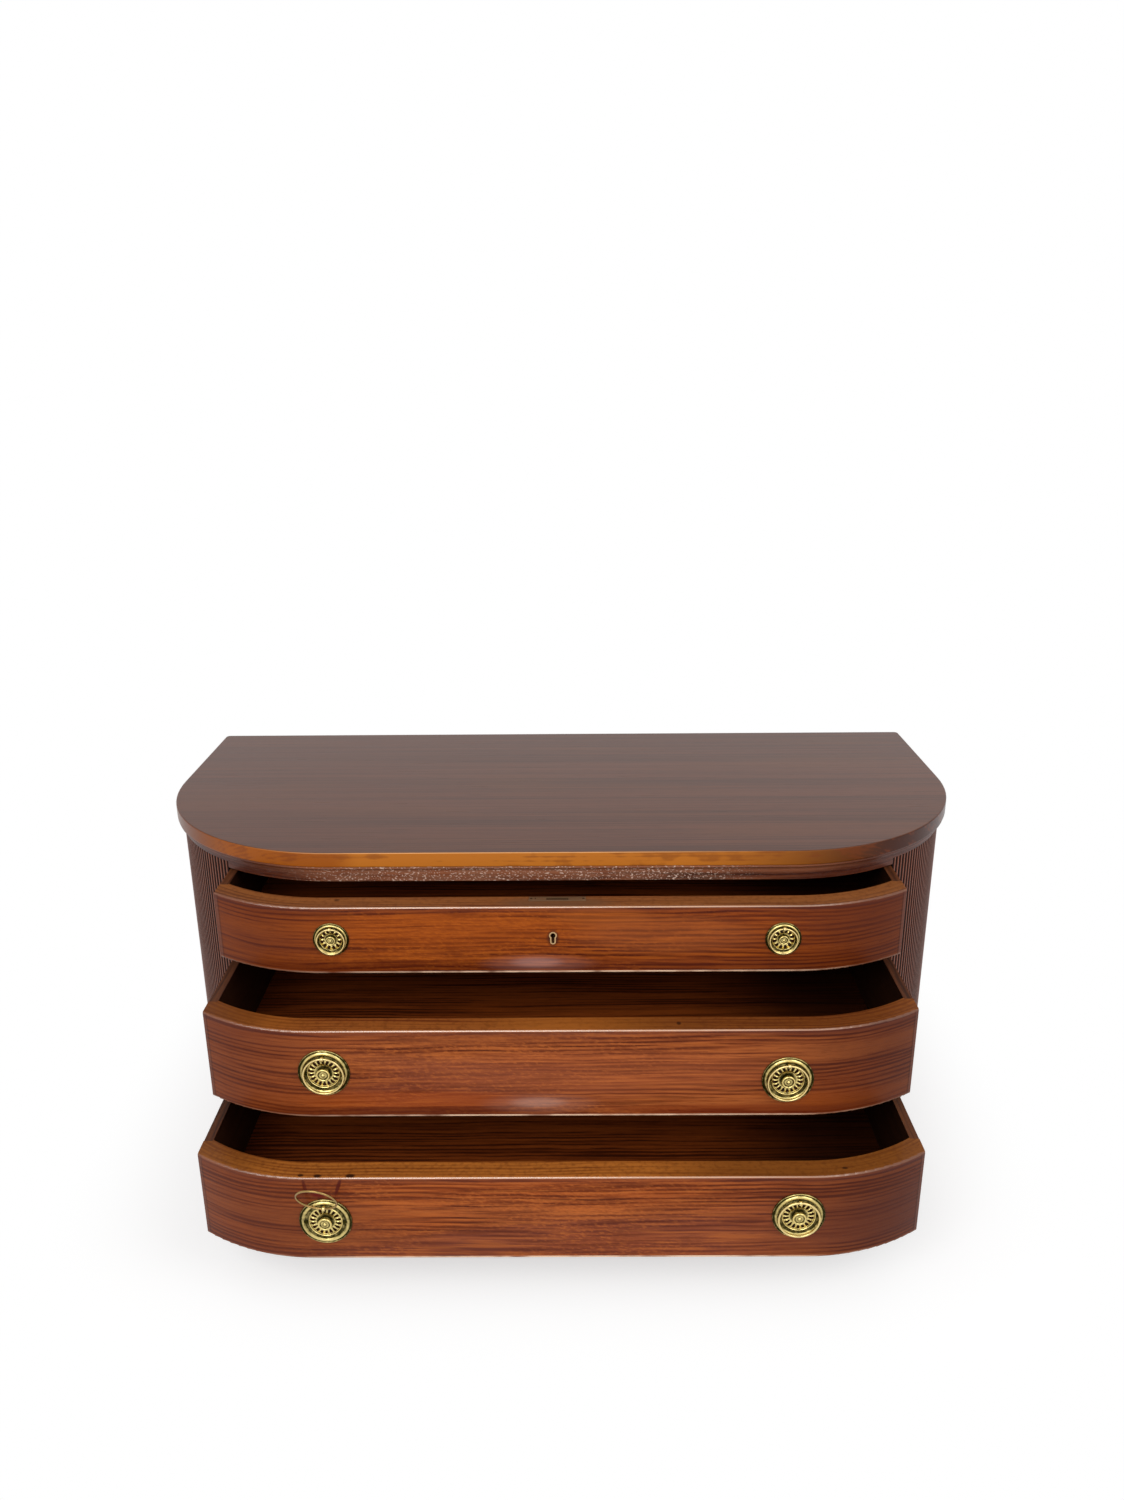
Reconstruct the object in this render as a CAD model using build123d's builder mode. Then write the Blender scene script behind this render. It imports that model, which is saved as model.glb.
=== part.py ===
from build123d import *
from dataclasses import dataclass
from math import acos, cos, degrees, radians, sin, sqrt
import os

# A low demilune chest of drawers. Lengths are in millimetres. The front faces -Y, the floor is z = 0 and the
# origin is on the floor under the middle of the top. The drawers stand open as they rest.

# Plan of the top
top_width = 1000.0
top_depth = 432.0
corner_radius = 237.5
back_corner_radius = 6.0
overhang = 7.5
reeded_end = 102.0

# Heights, from the floor up
plinth_height = 55.0
base_thickness = 20.0
bottom_front_height = 104.5
lower_rail_height = 23.0
middle_front_height = 108.0
upper_rail_height = 20.0
top_front_height = 82.0
frieze_height = 20.5
top_thickness = 18.0
front_gap = 1.5

# Carcass
reed_pitch = 6.0
reed_depth = 1.6
skin_thickness = 3.5
wall_thickness = 18.0
guide_thickness = 12.0
back_thickness = 10.0
rail_lap = 3.0
runner_width = 24.0
dust_thickness = 6.0
groove_depth = 5.0
plinth_setback = 10.0
plinth_thickness = 18.0
bearer_width = 60.0
cove_height = 12.0
cove_lip = 2.0
cove_reveal = 1.0
cove_band = 1.0
top_arris = 1.5
stop_length = 40.0
stop_width = 25.0
stop_height = 5.0
stop_spread_share = 0.4
block_side = 16.0
block_length = 45.0
overrun = 1.0

# Drawers
front_thickness = 25.0
front_arris = 2.0
side_thickness = 10.0
side_drop = 1.0
running_gap = 0.3
shoulder_set = 2.0
drawer_back_thickness = 10.0
drawer_back_drop = 6.0
bottom_thickness = 6.0
bottom_lift = 8.0
rear_clearance = 10.0
lap_length = 14.0
tail_pitch = 26.0
tail_root_share = 0.5
tail_tip_share = 0.72
fit_gap = 0.3
top_opening = 64.0
middle_opening = 143.5
bottom_opening = 209.5

# Handle fastenings
bolt_radius = 2.5
nut_side = 12.0
nut_thickness = 4.0
bolt_end = 2.0
washer_gap = 0.2

# Lock, its bolt and the keyhole
lock_offset = -2.5
keyhole_offset = -7.5
lock_width = 63.5
lock_plate_height = 42.0
lock_plate_thickness = 1.6
selvedge_width = 11.0
case_width = 46.0
case_height = 36.0
case_depth = 9.0
bolt_width = 24.0
bolt_thickness = 5.0
bolt_height = 24.0
bolt_throw = 8.0
bolt_head_drop = 0.4
talon_radius = 4.0
keyhole_height_share = 0.53
keyhole_radius = 2.9
keyhole_slot = 3.4
keyhole_height = 12.4
lining_wall = 1.4
lining_depth = 4.0
strike_width = 42.0
strike_depth = 12.0
strike_thickness = 1.5
lock_screw_radius = 1.2
lock_screw_head = 2.3
lock_screw_length = 9.0

# Screws up through the kickers into the top
top_screw_radius = 2.0
top_screw_head = 4.0
top_screw_length = 30.0
top_screw_count = 3
screw_play = 0.2


@dataclass
class Handle:
    """Sizes of one round plate and its ring."""

    plate_radius: float
    ring_radius: float
    wire_radius: float
    pivot_height: float
    standoff: float
    eye_radius: float
    eye_width: float
    boss_radius: float
    boss_height: float
    slots: int


large = Handle(
    plate_radius=28.0,
    ring_radius=21.5,
    wire_radius=1.1,
    pivot_height=19.5,
    standoff=5.0,
    eye_radius=3.1,
    eye_width=5.0,
    boss_radius=7.5,
    boss_height=7.0,
    slots=18,
)
small = Handle(
    plate_radius=20.0,
    ring_radius=15.2,
    wire_radius=0.95,
    pivot_height=13.8,
    standoff=4.4,
    eye_radius=2.8,
    eye_width=4.0,
    boss_radius=5.5,
    boss_height=5.5,
    slots=12,
)
eye_clearance = 0.95
eye_stem = 2.2

# Section of a plate: radii as shares of the plate's radius, heights in millimetres
rim_share = 0.905
second_bead_share = 0.83
collar_outer_share = 0.6
collar_inner_share = 0.55
rim_edge = 1.0
rim_height = 2.9
bead_height = 2.6
annulus_height = 1.6
collar_height = 2.5
dish_height = 1.1
slot_outer_share = 0.53
slot_inner_share = 0.36
slot_width_shares = (0.42, 0.6)

# Section of the stepped boss: radii as shares of its radius, heights as shares of its height
boss_foot_share = 0.8
boss_lip_share = 0.62
boss_shoulder_share = 0.7
boss_crown_share = 0.9
boss_well_share = 0.86

# The lower left ring stands up: turned from hanging by this angle, in degrees, about this line
raised_angle = 153.8
raised_line = (-0.9926, 0.0805, -0.0912)


@dataclass
class Drawer:
    """One drawer: its name, the height of its lower edge, its height and how far it stands open.

    Its handles are placed by shares of half the flat of the front and by shares of the height.
    """

    name: str
    base: float
    height: float
    opening: float
    handle: Handle
    handle_x_shares: tuple
    handle_z_shares: tuple


# Places worked out from the sizes above
body_inset = overhang
wall_inset = body_inset + skin_thickness
hollow_inset = wall_inset + wall_thickness
front_y = -top_depth / 2 + body_inset
inner_face_y = front_y + front_thickness
back_y = top_depth / 2
corner_x = top_width / 2 - corner_radius
corner_y = -top_depth / 2 + corner_radius
front_width = top_width - 2 * (overhang + reeded_end)
opening_half = front_width / 2 + front_gap
panel_front_y = back_y - back_thickness
base_top = plinth_height + base_thickness
bottom_base = base_top + front_gap
lower_rail_base = bottom_base + bottom_front_height + front_gap
lower_rail_top = lower_rail_base + lower_rail_height
middle_base = lower_rail_top + front_gap
upper_rail_base = middle_base + middle_front_height + front_gap
upper_rail_top = upper_rail_base + upper_rail_height
top_base = upper_rail_top + front_gap
frieze_base = top_base + top_front_height + front_gap
body_top = frieze_base + frieze_height
wall_height = body_top - base_top
side_outer = front_width / 2
side_inner = side_outer - side_thickness
side_foot = front_gap - running_gap
drawer_back_y = panel_front_y - rear_clearance
drawer_back_inner = drawer_back_y - drawer_back_thickness
panel_top = bottom_lift + bottom_thickness

drawers = (
    Drawer("top", top_base, top_front_height, top_opening, small, (-0.964, 0.94), (0.53, 0.51)),
    Drawer("middle", middle_base, middle_front_height, middle_opening, large, (-0.9655, 0.93), (0.53, 0.43)),
    Drawer("bottom", bottom_base, bottom_front_height, bottom_opening, large, (-0.946, 0.9535), (0.48, 0.53)),
)


def arc_y(inset, x):
    """Height in plan of the rounded front corner, drawn in by inset, at a distance x from the middle."""
    return corner_y - sqrt((corner_radius - inset) ** 2 - (x - corner_x) ** 2)


shoulder_y = arc_y(body_inset + front_thickness, side_inner) - shoulder_set
guide_inset = hollow_inset + fit_gap
rail_back_y = arc_y(guide_inset, opening_half) + rail_lap


def d_plan(inset, back):
    """The D-shaped plan, drawn in by inset at the ends and the front, with its back at y = back."""
    half = top_width / 2 - inset
    radius = corner_radius - inset
    bulge = radius * sin(radians(45))
    with BuildSketch() as plan:
        with BuildLine():
            Polyline((-half, corner_y), (-half, back), (half, back), (half, corner_y))
            ThreePointArc(
                (half, corner_y), (corner_x + bulge, corner_y - bulge), (corner_x, corner_y - radius)
            )
            Line((corner_x, corner_y - radius), (-corner_x, corner_y - radius))
            ThreePointArc(
                (-corner_x, corner_y - radius), (-corner_x - bulge, corner_y - bulge), (-half, corner_y)
            )
        make_face()
    return plan.sketch


def box_plan(x0, x1, y0, y1):
    """A rectangle between two corners."""
    with BuildSketch() as plan:
        with Locations(((x0 + x1) / 2, (y0 + y1) / 2)):
            Rectangle(x1 - x0, y1 - y0)
    return plan.sketch


def save(part, name):
    """Label a finished piece and write it."""
    part.label = name
    export_step(part, f"parts/{name}.step")


def board(plan, base, height):
    """A plan extruded upwards from the level base."""
    with BuildPart() as piece:
        with BuildSketch(Plane.XY.offset(base)):
            add(plan)
        extrude(amount=height)
    return piece.part


def rail_plan():
    """A front rail: the D's front between the openings' ends, with a straight back."""
    with BuildSketch() as plan:
        add(d_plan(body_inset, back_y))
        add(box_plan(-opening_half, opening_half, -top_depth / 2, rail_back_y), mode=Mode.INTERSECT)
    return plan.sketch


screw_pitch = (panel_front_y - rail_back_y) / top_screw_count
screw_x = opening_half - runner_width / 2
screw_y = (panel_front_y + rail_back_y) / 2

# The polished top board, with a small round on both arrises and holes for the screws that hold it
with BuildPart() as top_board:
    with BuildSketch(Plane.XY.offset(body_top)):
        add(d_plan(0, back_y))
    extrude(amount=top_thickness)
    fillet(top_board.edges().filter_by(Axis.Z).group_by(Axis.Y)[-1], back_corner_radius)
    fillet(top_board.faces().filter_by(Axis.Z).edges(), top_arris)
    with Locations((0, screw_y, body_top)):
        with GridLocations(2 * screw_x, screw_pitch, 2, top_screw_count):
            Cylinder(
                top_screw_radius + screw_play,
                top_screw_length - frieze_height,
                align=(Align.CENTER, Align.CENTER, Align.MIN),
                mode=Mode.SUBTRACT,
            )
save(top_board.part, "top_board")

# The cove moulding under the top, bent round the ends and the front
with BuildPart() as cornice_moulding:
    cove_out = overhang - cove_reveal
    cove_size = cove_out - cove_band
    with BuildLine() as cove_path:
        cove_half = top_width / 2 - body_inset
        cove_radius = corner_radius - body_inset
        cove_bulge = cove_radius * sin(radians(45))
        Line((cove_half, back_y, body_top), (cove_half, corner_y, body_top))
        ThreePointArc(
            (cove_half, corner_y, body_top),
            (corner_x + cove_bulge, corner_y - cove_bulge, body_top),
            (corner_x, corner_y - cove_radius, body_top),
        )
        Line((corner_x, corner_y - cove_radius, body_top), (-corner_x, corner_y - cove_radius, body_top))
        ThreePointArc(
            (-corner_x, corner_y - cove_radius, body_top),
            (-corner_x - cove_bulge, corner_y - cove_bulge, body_top),
            (-cove_half, corner_y, body_top),
        )
        Line((-cove_half, corner_y, body_top), (-cove_half, back_y, body_top))
    with BuildSketch(Plane(origin=(cove_half, back_y, body_top), x_dir=(1, 0, 0), z_dir=(0, -1, 0))):
        with BuildLine():
            Polyline((0, -cove_height), (0, 0), (cove_out, 0), (cove_out, -cove_lip))
            RadiusArc((cove_out, -cove_lip), (cove_band, -cove_lip - cove_size), -cove_size)
            Polyline((cove_band, -cove_lip - cove_size), (cove_band, -cove_height), (0, -cove_height))
        make_face()
    sweep(path=cove_path.line)
save(cornice_moulding.part, "cornice_moulding")

# Frieze rail over the top drawer, with the mortise that the lock's bolt shoots into
bolt_y = inner_face_y - selvedge_width / 2
with BuildPart() as frieze_rail:
    with BuildSketch(Plane.XY.offset(frieze_base)):
        add(rail_plan())
    extrude(amount=frieze_height)
    with Locations((lock_offset, bolt_y, frieze_base)):
        Box(
            strike_width,
            strike_depth,
            strike_thickness,
            align=(Align.CENTER, Align.CENTER, Align.MIN),
            mode=Mode.SUBTRACT,
        )
        Box(
            bolt_width + 2 * fit_gap,
            bolt_thickness + 2 * fit_gap,
            strike_thickness + bolt_throw,
            align=(Align.CENTER, Align.CENTER, Align.MIN),
            mode=Mode.SUBTRACT,
        )
save(frieze_rail.part, "frieze_rail")

with BuildPart() as strike_plate:
    with BuildSketch(Plane.XY.offset(frieze_base)):
        with Locations((lock_offset, bolt_y)):
            Rectangle(strike_width, strike_depth)
            Rectangle(bolt_width + 2 * fit_gap, bolt_thickness + 2 * fit_gap, mode=Mode.SUBTRACT)
    extrude(amount=strike_thickness)
save(strike_plate.part, "strike_plate")

# Reeded facing of the ends. Each reed is one arc from valley to valley, in a run that follows the corner and
# then the straight side to the back.
crest_radius = corner_radius - body_inset
valley_radius = crest_radius - reed_depth
end_x = opening_half - corner_x
reed_start = degrees(acos(end_x / valley_radius))
corner_reeds = round(radians(reed_start) * crest_radius / reed_pitch)
side_reeds = round((back_y - corner_y) / reed_pitch)
reed_turn = reed_start / corner_reeds
side_pitch = (back_y - corner_y) / side_reeds


def on_corner(radius, angle):
    """A point round the right front corner, at an angle in degrees forward of the side."""
    return (corner_x + radius * cos(radians(angle)), corner_y - radius * sin(radians(angle)))


with BuildPart() as reeded_skin_right:
    with BuildSketch(Plane.XY.offset(base_top)):
        with BuildLine():
            for reed in range(corner_reeds):
                angle = reed_start - reed * reed_turn
                ThreePointArc(
                    on_corner(valley_radius, angle),
                    on_corner(crest_radius, angle - reed_turn / 2),
                    on_corner(valley_radius, angle - reed_turn),
                )
            for reed in range(side_reeds):
                start = corner_y + reed * side_pitch
                ThreePointArc(
                    (corner_x + valley_radius, start),
                    (corner_x + crest_radius, start + side_pitch / 2),
                    (corner_x + valley_radius, start + side_pitch),
                )
            skin_radius = corner_radius - wall_inset
            skin_start = degrees(acos(end_x / skin_radius))
            Polyline(
                (corner_x + valley_radius, back_y),
                (corner_x + skin_radius, back_y),
                (corner_x + skin_radius, corner_y),
            )
            ThreePointArc(
                (corner_x + skin_radius, corner_y),
                on_corner(skin_radius, skin_start / 2),
                on_corner(skin_radius, skin_start),
            )
            Line(on_corner(skin_radius, skin_start), on_corner(valley_radius, reed_start))
        make_face()
    extrude(amount=wall_height)
save(reeded_skin_right.part, "reeded_skin_right")

# Bent side wall behind the reeding, and the straight panel that guides the drawers
with BuildPart() as side_wall_right:
    with BuildSketch(Plane.XY.offset(base_top)):
        add(d_plan(wall_inset, back_y))
        add(d_plan(hollow_inset, back_y + overrun), mode=Mode.SUBTRACT)
        add(box_plan(opening_half, top_width / 2, -top_depth / 2, back_y), mode=Mode.INTERSECT)
    extrude(amount=wall_height)
save(side_wall_right.part, "side_wall_right")

with BuildPart() as guide_panel_right:
    with BuildSketch(Plane.XY.offset(base_top)):
        add(d_plan(guide_inset, panel_front_y))
        add(
            box_plan(opening_half, opening_half + guide_thickness, -top_depth / 2, panel_front_y),
            mode=Mode.INTERSECT,
        )
    extrude(amount=wall_height)
save(guide_panel_right.part, "guide_panel_right")

for name, right in (
    ("reeded_skin_left", reeded_skin_right),
    ("side_wall_left", side_wall_right),
    ("guide_panel_left", guide_panel_right),
):
    with BuildPart() as left:
        mirror(right.part, about=Plane.YZ)
    save(left.part, name)

back_half = top_width / 2 - hollow_inset
save(board(box_plan(-back_half, back_half, panel_front_y, back_y), base_top, wall_height), "back_panel")

# Front rails with the runners and dust boards behind them. The dust board sits in a groove all round.
runner_inner = opening_half - runner_width
for name, level, height in (
    ("upper", upper_rail_base, upper_rail_height),
    ("lower", lower_rail_base, lower_rail_height),
):
    groove_base = level + (height - dust_thickness) / 2
    tongue = groove_depth + runner_inner
    dust_plan = box_plan(-tongue, tongue, rail_back_y - groove_depth, panel_front_y)
    with BuildPart() as rail:
        with BuildSketch(Plane.XY.offset(level)):
            add(rail_plan())
        extrude(amount=height)
        with BuildSketch(Plane.XY.offset(groove_base)):
            add(dust_plan)
        extrude(amount=dust_thickness, mode=Mode.SUBTRACT)
    save(rail.part, f"rail_{name}")
    with BuildPart() as runners:
        with BuildSketch(Plane.XY.offset(level)):
            add(box_plan(runner_inner, opening_half, rail_back_y, panel_front_y))
            add(box_plan(-opening_half, -runner_inner, rail_back_y, panel_front_y))
        extrude(amount=height)
        with BuildSketch(Plane.XY.offset(groove_base)):
            add(dust_plan)
        extrude(amount=dust_thickness, mode=Mode.SUBTRACT)
    save(runners.part, f"runners_{name}")
    save(board(dust_plan, groove_base, dust_thickness), f"dust_board_{name}")

# Kickers under the top, which stop the top drawer tipping, and the screws up through them
with BuildPart() as kickers:
    with BuildSketch(Plane.XY.offset(frieze_base)):
        add(box_plan(runner_inner, opening_half, rail_back_y, panel_front_y))
        add(box_plan(-opening_half, -runner_inner, rail_back_y, panel_front_y))
    extrude(amount=frieze_height)
    with Locations((0, screw_y, frieze_base)):
        with GridLocations(2 * screw_x, screw_pitch, 2, top_screw_count):
            Cylinder(
                top_screw_radius + screw_play,
                frieze_height,
                align=(Align.CENTER, Align.CENTER, Align.MIN),
                mode=Mode.SUBTRACT,
            )
            Cone(
                top_screw_head + screw_play,
                top_screw_radius + screw_play,
                top_screw_radius,
                align=(Align.CENTER, Align.CENTER, Align.MIN),
                mode=Mode.SUBTRACT,
            )
save(kickers.part, "kickers")

with BuildPart() as top_screws:
    with Locations((0, screw_y, frieze_base)):
        with GridLocations(2 * screw_x, screw_pitch, 2, top_screw_count):
            Cylinder(
                top_screw_radius, top_screw_length, align=(Align.CENTER, Align.CENTER, Align.MIN)
            )
            Cone(
                top_screw_head,
                top_screw_radius,
                top_screw_radius,
                align=(Align.CENTER, Align.CENTER, Align.MIN),
            )
save(top_screws.part, "top_screws")

# Base board and the plinth it stands on: a bent band, a rail across the back and a bearer under the middle
save(board(d_plan(body_inset, back_y), plinth_height, base_thickness), "base_board")
plinth_inset = body_inset + plinth_setback
plinth_inner = plinth_inset + plinth_thickness
with BuildPart() as plinth_band:
    with BuildSketch():
        add(d_plan(plinth_inset, back_y))
        add(d_plan(plinth_inner, back_y + overrun), mode=Mode.SUBTRACT)
    extrude(amount=plinth_height)
save(plinth_band.part, "plinth_band")
plinth_half = top_width / 2 - plinth_inner
plinth_back_y = back_y - plinth_thickness
save(board(box_plan(-plinth_half, plinth_half, plinth_back_y, back_y), 0, plinth_height), "plinth_back_rail")
plinth_front_y = -top_depth / 2 + plinth_inner
bearer_plan = box_plan(-bearer_width / 2, bearer_width / 2, plinth_front_y, plinth_back_y)
save(board(bearer_plan, 0, plinth_height), "plinth_bearer")

# Two stops behind each closed drawer front
stop_x = front_width / 2 * stop_spread_share
stop_y = inner_face_y + fit_gap + stop_width / 2
with BuildPart() as drawer_stops:
    for level in (base_top, lower_rail_top, upper_rail_top):
        with BuildSketch(Plane.XY.offset(level)):
            with Locations((stop_x, stop_y), (-stop_x, stop_y)):
                Rectangle(stop_length, stop_width)
        extrude(amount=stop_height)
save(drawer_stops.part, "drawer_stops")

# Glue blocks: against the guide panels under the top, and against the plinth's sides under the base board
with BuildPart() as glue_blocks:
    guide_outer = opening_half + guide_thickness
    block_y = (corner_y + panel_front_y) / 2
    block_spread = (panel_front_y - corner_y) / 4
    with BuildSketch(Plane.XY.offset(body_top - block_side)):
        with Locations(
            (guide_outer + block_side / 2, block_y - block_spread),
            (guide_outer + block_side / 2, block_y + block_spread),
            (-guide_outer - block_side / 2, block_y - block_spread),
            (-guide_outer - block_side / 2, block_y + block_spread),
        ):
            Rectangle(block_side, block_length)
    extrude(amount=block_side)
    with BuildSketch(Plane.XY.offset(plinth_height - block_side)):
        with Locations(
            (plinth_half - block_side / 2, block_y),
            (-plinth_half + block_side / 2, block_y),
        ):
            Rectangle(block_side, block_length)
        with Locations(
            (corner_x / 2, plinth_front_y + block_side / 2),
            (-corner_x / 2, plinth_front_y + block_side / 2),
        ):
            Rectangle(block_length, block_side)
    extrude(amount=block_side)
save(glue_blocks.part, "glue_blocks")


# Drawers

def drawer_plane(drawer, height=0.0):
    """The level plane of a drawer at a height above its lower edge, moved out by its opening."""
    return Plane(origin=(0, -drawer.opening, drawer.base + height))


def end_plane(drawer, x):
    """The upright plane across a drawer at x: its own x runs back and its own y runs up."""
    return Plane(origin=(x, -drawer.opening, drawer.base), x_dir=(0, 1, 0), z_dir=(1, 0, 0))


def handle_points(drawer):
    """The middle of each plate on the drawer's front face."""
    return [
        (x_share * corner_x, front_y - drawer.opening, drawer.base + z_share * drawer.height)
        for x_share, z_share in zip(drawer.handle_x_shares, drawer.handle_z_shares)
    ]


def face_planes(drawer):
    """A plane on the front face at each handle: x to the right, y up, z out of the face."""
    return [Plane(origin=point, x_dir=(1, 0, 0), z_dir=(0, -1, 0)) for point in handle_points(drawer)]


def tails(root, tip, low, high):
    """Dovetail tails between two heights, from their narrow root to their wide tip."""
    count = max(1, round((high - low) / tail_pitch))
    pitch = (high - low) / count
    narrow = pitch * tail_root_share / 2
    wide = pitch * tail_tip_share / 2
    with BuildSketch() as shape:
        for number in range(count):
            middle = low + (number + 0.5) * pitch
            with BuildLine():
                Polyline(
                    (root, middle - narrow),
                    (tip, middle - wide),
                    (tip, middle + wide),
                    (root, middle + narrow),
                    close=True,
                )
            make_face()
    return shape.sketch


def front_tails(drawer):
    """The lapped tails that join a side to the front."""
    return tails(shoulder_y, shoulder_y - lap_length, 0, drawer.height - side_drop)


def rear_tails(drawer):
    """The through tails that join a side to the back."""
    return tails(drawer_back_inner, drawer_back_y, panel_top, drawer.height - drawer_back_drop)


def bottom_plan():
    """The drawer's bottom: it reaches into grooves in the front and the sides, and out under the back."""
    panel_inset = body_inset + front_thickness - groove_depth + fit_gap
    reach = side_inner + groove_depth
    with BuildSketch() as plan:
        add(d_plan(panel_inset, drawer_back_y))
        add(box_plan(-side_inner, side_inner, -top_depth / 2, drawer_back_y), mode=Mode.INTERSECT)
        add(box_plan(-reach, reach, shoulder_y, drawer_back_y))
    return plan.sketch


def keyhole_plan(radius, slot, height):
    """A round eye over a slot with a round foot, centred on its height."""
    with BuildSketch() as shape:
        with Locations((0, height / 2 - radius)):
            Circle(radius)
        with Locations((0, -radius / 2)):
            SlotOverall(height - radius, slot, rotation=90)
    return shape.sketch


def make_front(drawer):
    """The shaped front: a band of the D cut off square to the opening, lapped and grooved for its joints."""
    with BuildPart() as front:
        with BuildSketch(drawer_plane(drawer)):
            add(d_plan(body_inset, back_y))
            add(d_plan(body_inset + front_thickness, back_y + overrun), mode=Mode.SUBTRACT)
            add(box_plan(-side_outer, side_outer, -top_depth / 2, corner_y), mode=Mode.INTERSECT)
        extrude(amount=drawer.height)
        flat = front.faces().sort_by(Axis.Y)[0]
        fillet(flat.edges().group_by(Axis.Z)[0] + flat.edges().group_by(Axis.Z)[-1], front_arris)
        with BuildSketch(drawer_plane(drawer)):
            add(box_plan(side_inner, side_outer + overrun, shoulder_y, corner_y))
            add(box_plan(-side_outer - overrun, -side_inner, shoulder_y, corner_y))
        extrude(amount=drawer.height, mode=Mode.SUBTRACT)
        for x in (side_inner, -side_outer):
            with BuildSketch(end_plane(drawer, x)):
                add(front_tails(drawer))
            extrude(amount=side_thickness, mode=Mode.SUBTRACT)
        groove_inset = body_inset + front_thickness - groove_depth
        with BuildSketch(drawer_plane(drawer, bottom_lift)):
            add(d_plan(groove_inset, back_y))
            add(box_plan(-side_inner, side_inner, -top_depth / 2, back_y), mode=Mode.INTERSECT)
        extrude(amount=bottom_thickness, mode=Mode.SUBTRACT)
        for plane in face_planes(drawer):
            with BuildSketch(plane):
                Circle(bolt_radius + washer_gap)
            extrude(amount=-front_thickness, mode=Mode.SUBTRACT)
    return front


def make_side(drawer, x):
    """A side that runs on the rail and runners below it, tailed at both ends and grooved for the bottom."""
    height = drawer.height - side_drop
    grooved = x if x > 0 else x + side_thickness - groove_depth
    with BuildPart() as side:
        with BuildSketch(end_plane(drawer, x)):
            add(box_plan(shoulder_y, drawer_back_inner, -side_foot, height))
            add(box_plan(drawer_back_inner, drawer_back_y, -side_foot, panel_top))
            add(front_tails(drawer))
            add(rear_tails(drawer))
        extrude(amount=side_thickness)
        with BuildSketch(end_plane(drawer, grooved)):
            add(box_plan(shoulder_y, drawer_back_y, bottom_lift, panel_top))
        extrude(amount=groove_depth, mode=Mode.SUBTRACT)
    return side


def make_back(drawer):
    """The back board, above the bottom, with sockets for the sides' tails."""
    height = drawer.height - drawer_back_drop - panel_top
    with BuildPart() as back:
        with BuildSketch(drawer_plane(drawer, panel_top)):
            add(box_plan(-side_outer, side_outer, drawer_back_inner, drawer_back_y))
        extrude(amount=height)
        for x in (side_inner, -side_outer):
            with BuildSketch(end_plane(drawer, x)):
                add(rear_tails(drawer))
            extrude(amount=side_thickness, mode=Mode.SUBTRACT)
    return back


# The lock's places in the top drawer, on planes at the drawer's top edge
top_drawer = drawers[0]
top_edge = top_drawer.base + top_drawer.height
lock_plane = Plane(origin=(lock_offset, inner_face_y - top_drawer.opening, top_edge))
case_middle = selvedge_width / 2


def lock_block(width, depth, height, drop, play=0.0):
    """A block of the lock or of its mortise, from the inside face forwards and down from the top edge."""
    with BuildPart() as block:
        with Locations((0, play, -drop)):
            Box(
                width + 2 * play,
                depth + 2 * play,
                height + play,
                align=(Align.CENTER, Align.MAX, Align.MAX),
            )
    return block.part


lock_pieces = (
    (lock_width, selvedge_width, lock_plate_thickness, 0.0),
    (lock_width, lock_plate_thickness, lock_plate_height, 0.0),
    (case_width, case_depth, case_height, 0.0),
)

key_plane = Plane(
    origin=(
        keyhole_offset,
        front_y - top_drawer.opening,
        top_drawer.base + keyhole_height_share * top_drawer.height,
    ),
    x_dir=(1, 0, 0),
    z_dir=(0, -1, 0),
)
lining_plan = keyhole_plan(
    keyhole_radius + lining_wall, keyhole_slot + 2 * lining_wall, keyhole_height + 2 * lining_wall
)
hole_plan = keyhole_plan(keyhole_radius, keyhole_slot, keyhole_height)
lock_screw_x = (case_width + lock_width) / 4
lock_screw_z = lock_plate_height / 4
screw_plane = Plane(
    origin=(lock_offset, inner_face_y - top_drawer.opening, top_edge - lock_plate_height / 2),
    x_dir=(-1, 0, 0),
    z_dir=(0, 1, 0),
)

for drawer in drawers:
    with BuildPart() as front:
        add(make_front(drawer).part)
        if drawer is top_drawer:
            with Locations(lock_plane):
                for width, depth, height, drop in lock_pieces:
                    add(lock_block(width, depth, height, drop, fit_gap / 2), mode=Mode.SUBTRACT)
            with BuildSketch(key_plane):
                add(lining_plan)
            extrude(amount=-lining_depth, mode=Mode.SUBTRACT)
            with BuildSketch(key_plane):
                add(hole_plan)
            extrude(amount=-front_thickness, mode=Mode.SUBTRACT)
            with BuildSketch(screw_plane):
                with GridLocations(2 * lock_screw_x, 2 * lock_screw_z, 2, 2):
                    Circle(lock_screw_radius + screw_play)
            extrude(amount=-lock_screw_length - screw_play, mode=Mode.SUBTRACT)
    save(front.part, f"front_{drawer.name}")
    save(make_side(drawer, side_inner).part, f"side_right_{drawer.name}")
    save(make_side(drawer, -side_outer).part, f"side_left_{drawer.name}")
    save(make_back(drawer).part, f"back_{drawer.name}")
    with BuildPart() as bottom:
        with BuildSketch(drawer_plane(drawer, bottom_lift)):
            add(bottom_plan())
        extrude(amount=bottom_thickness)
    save(bottom.part, f"bottom_{drawer.name}")

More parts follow.
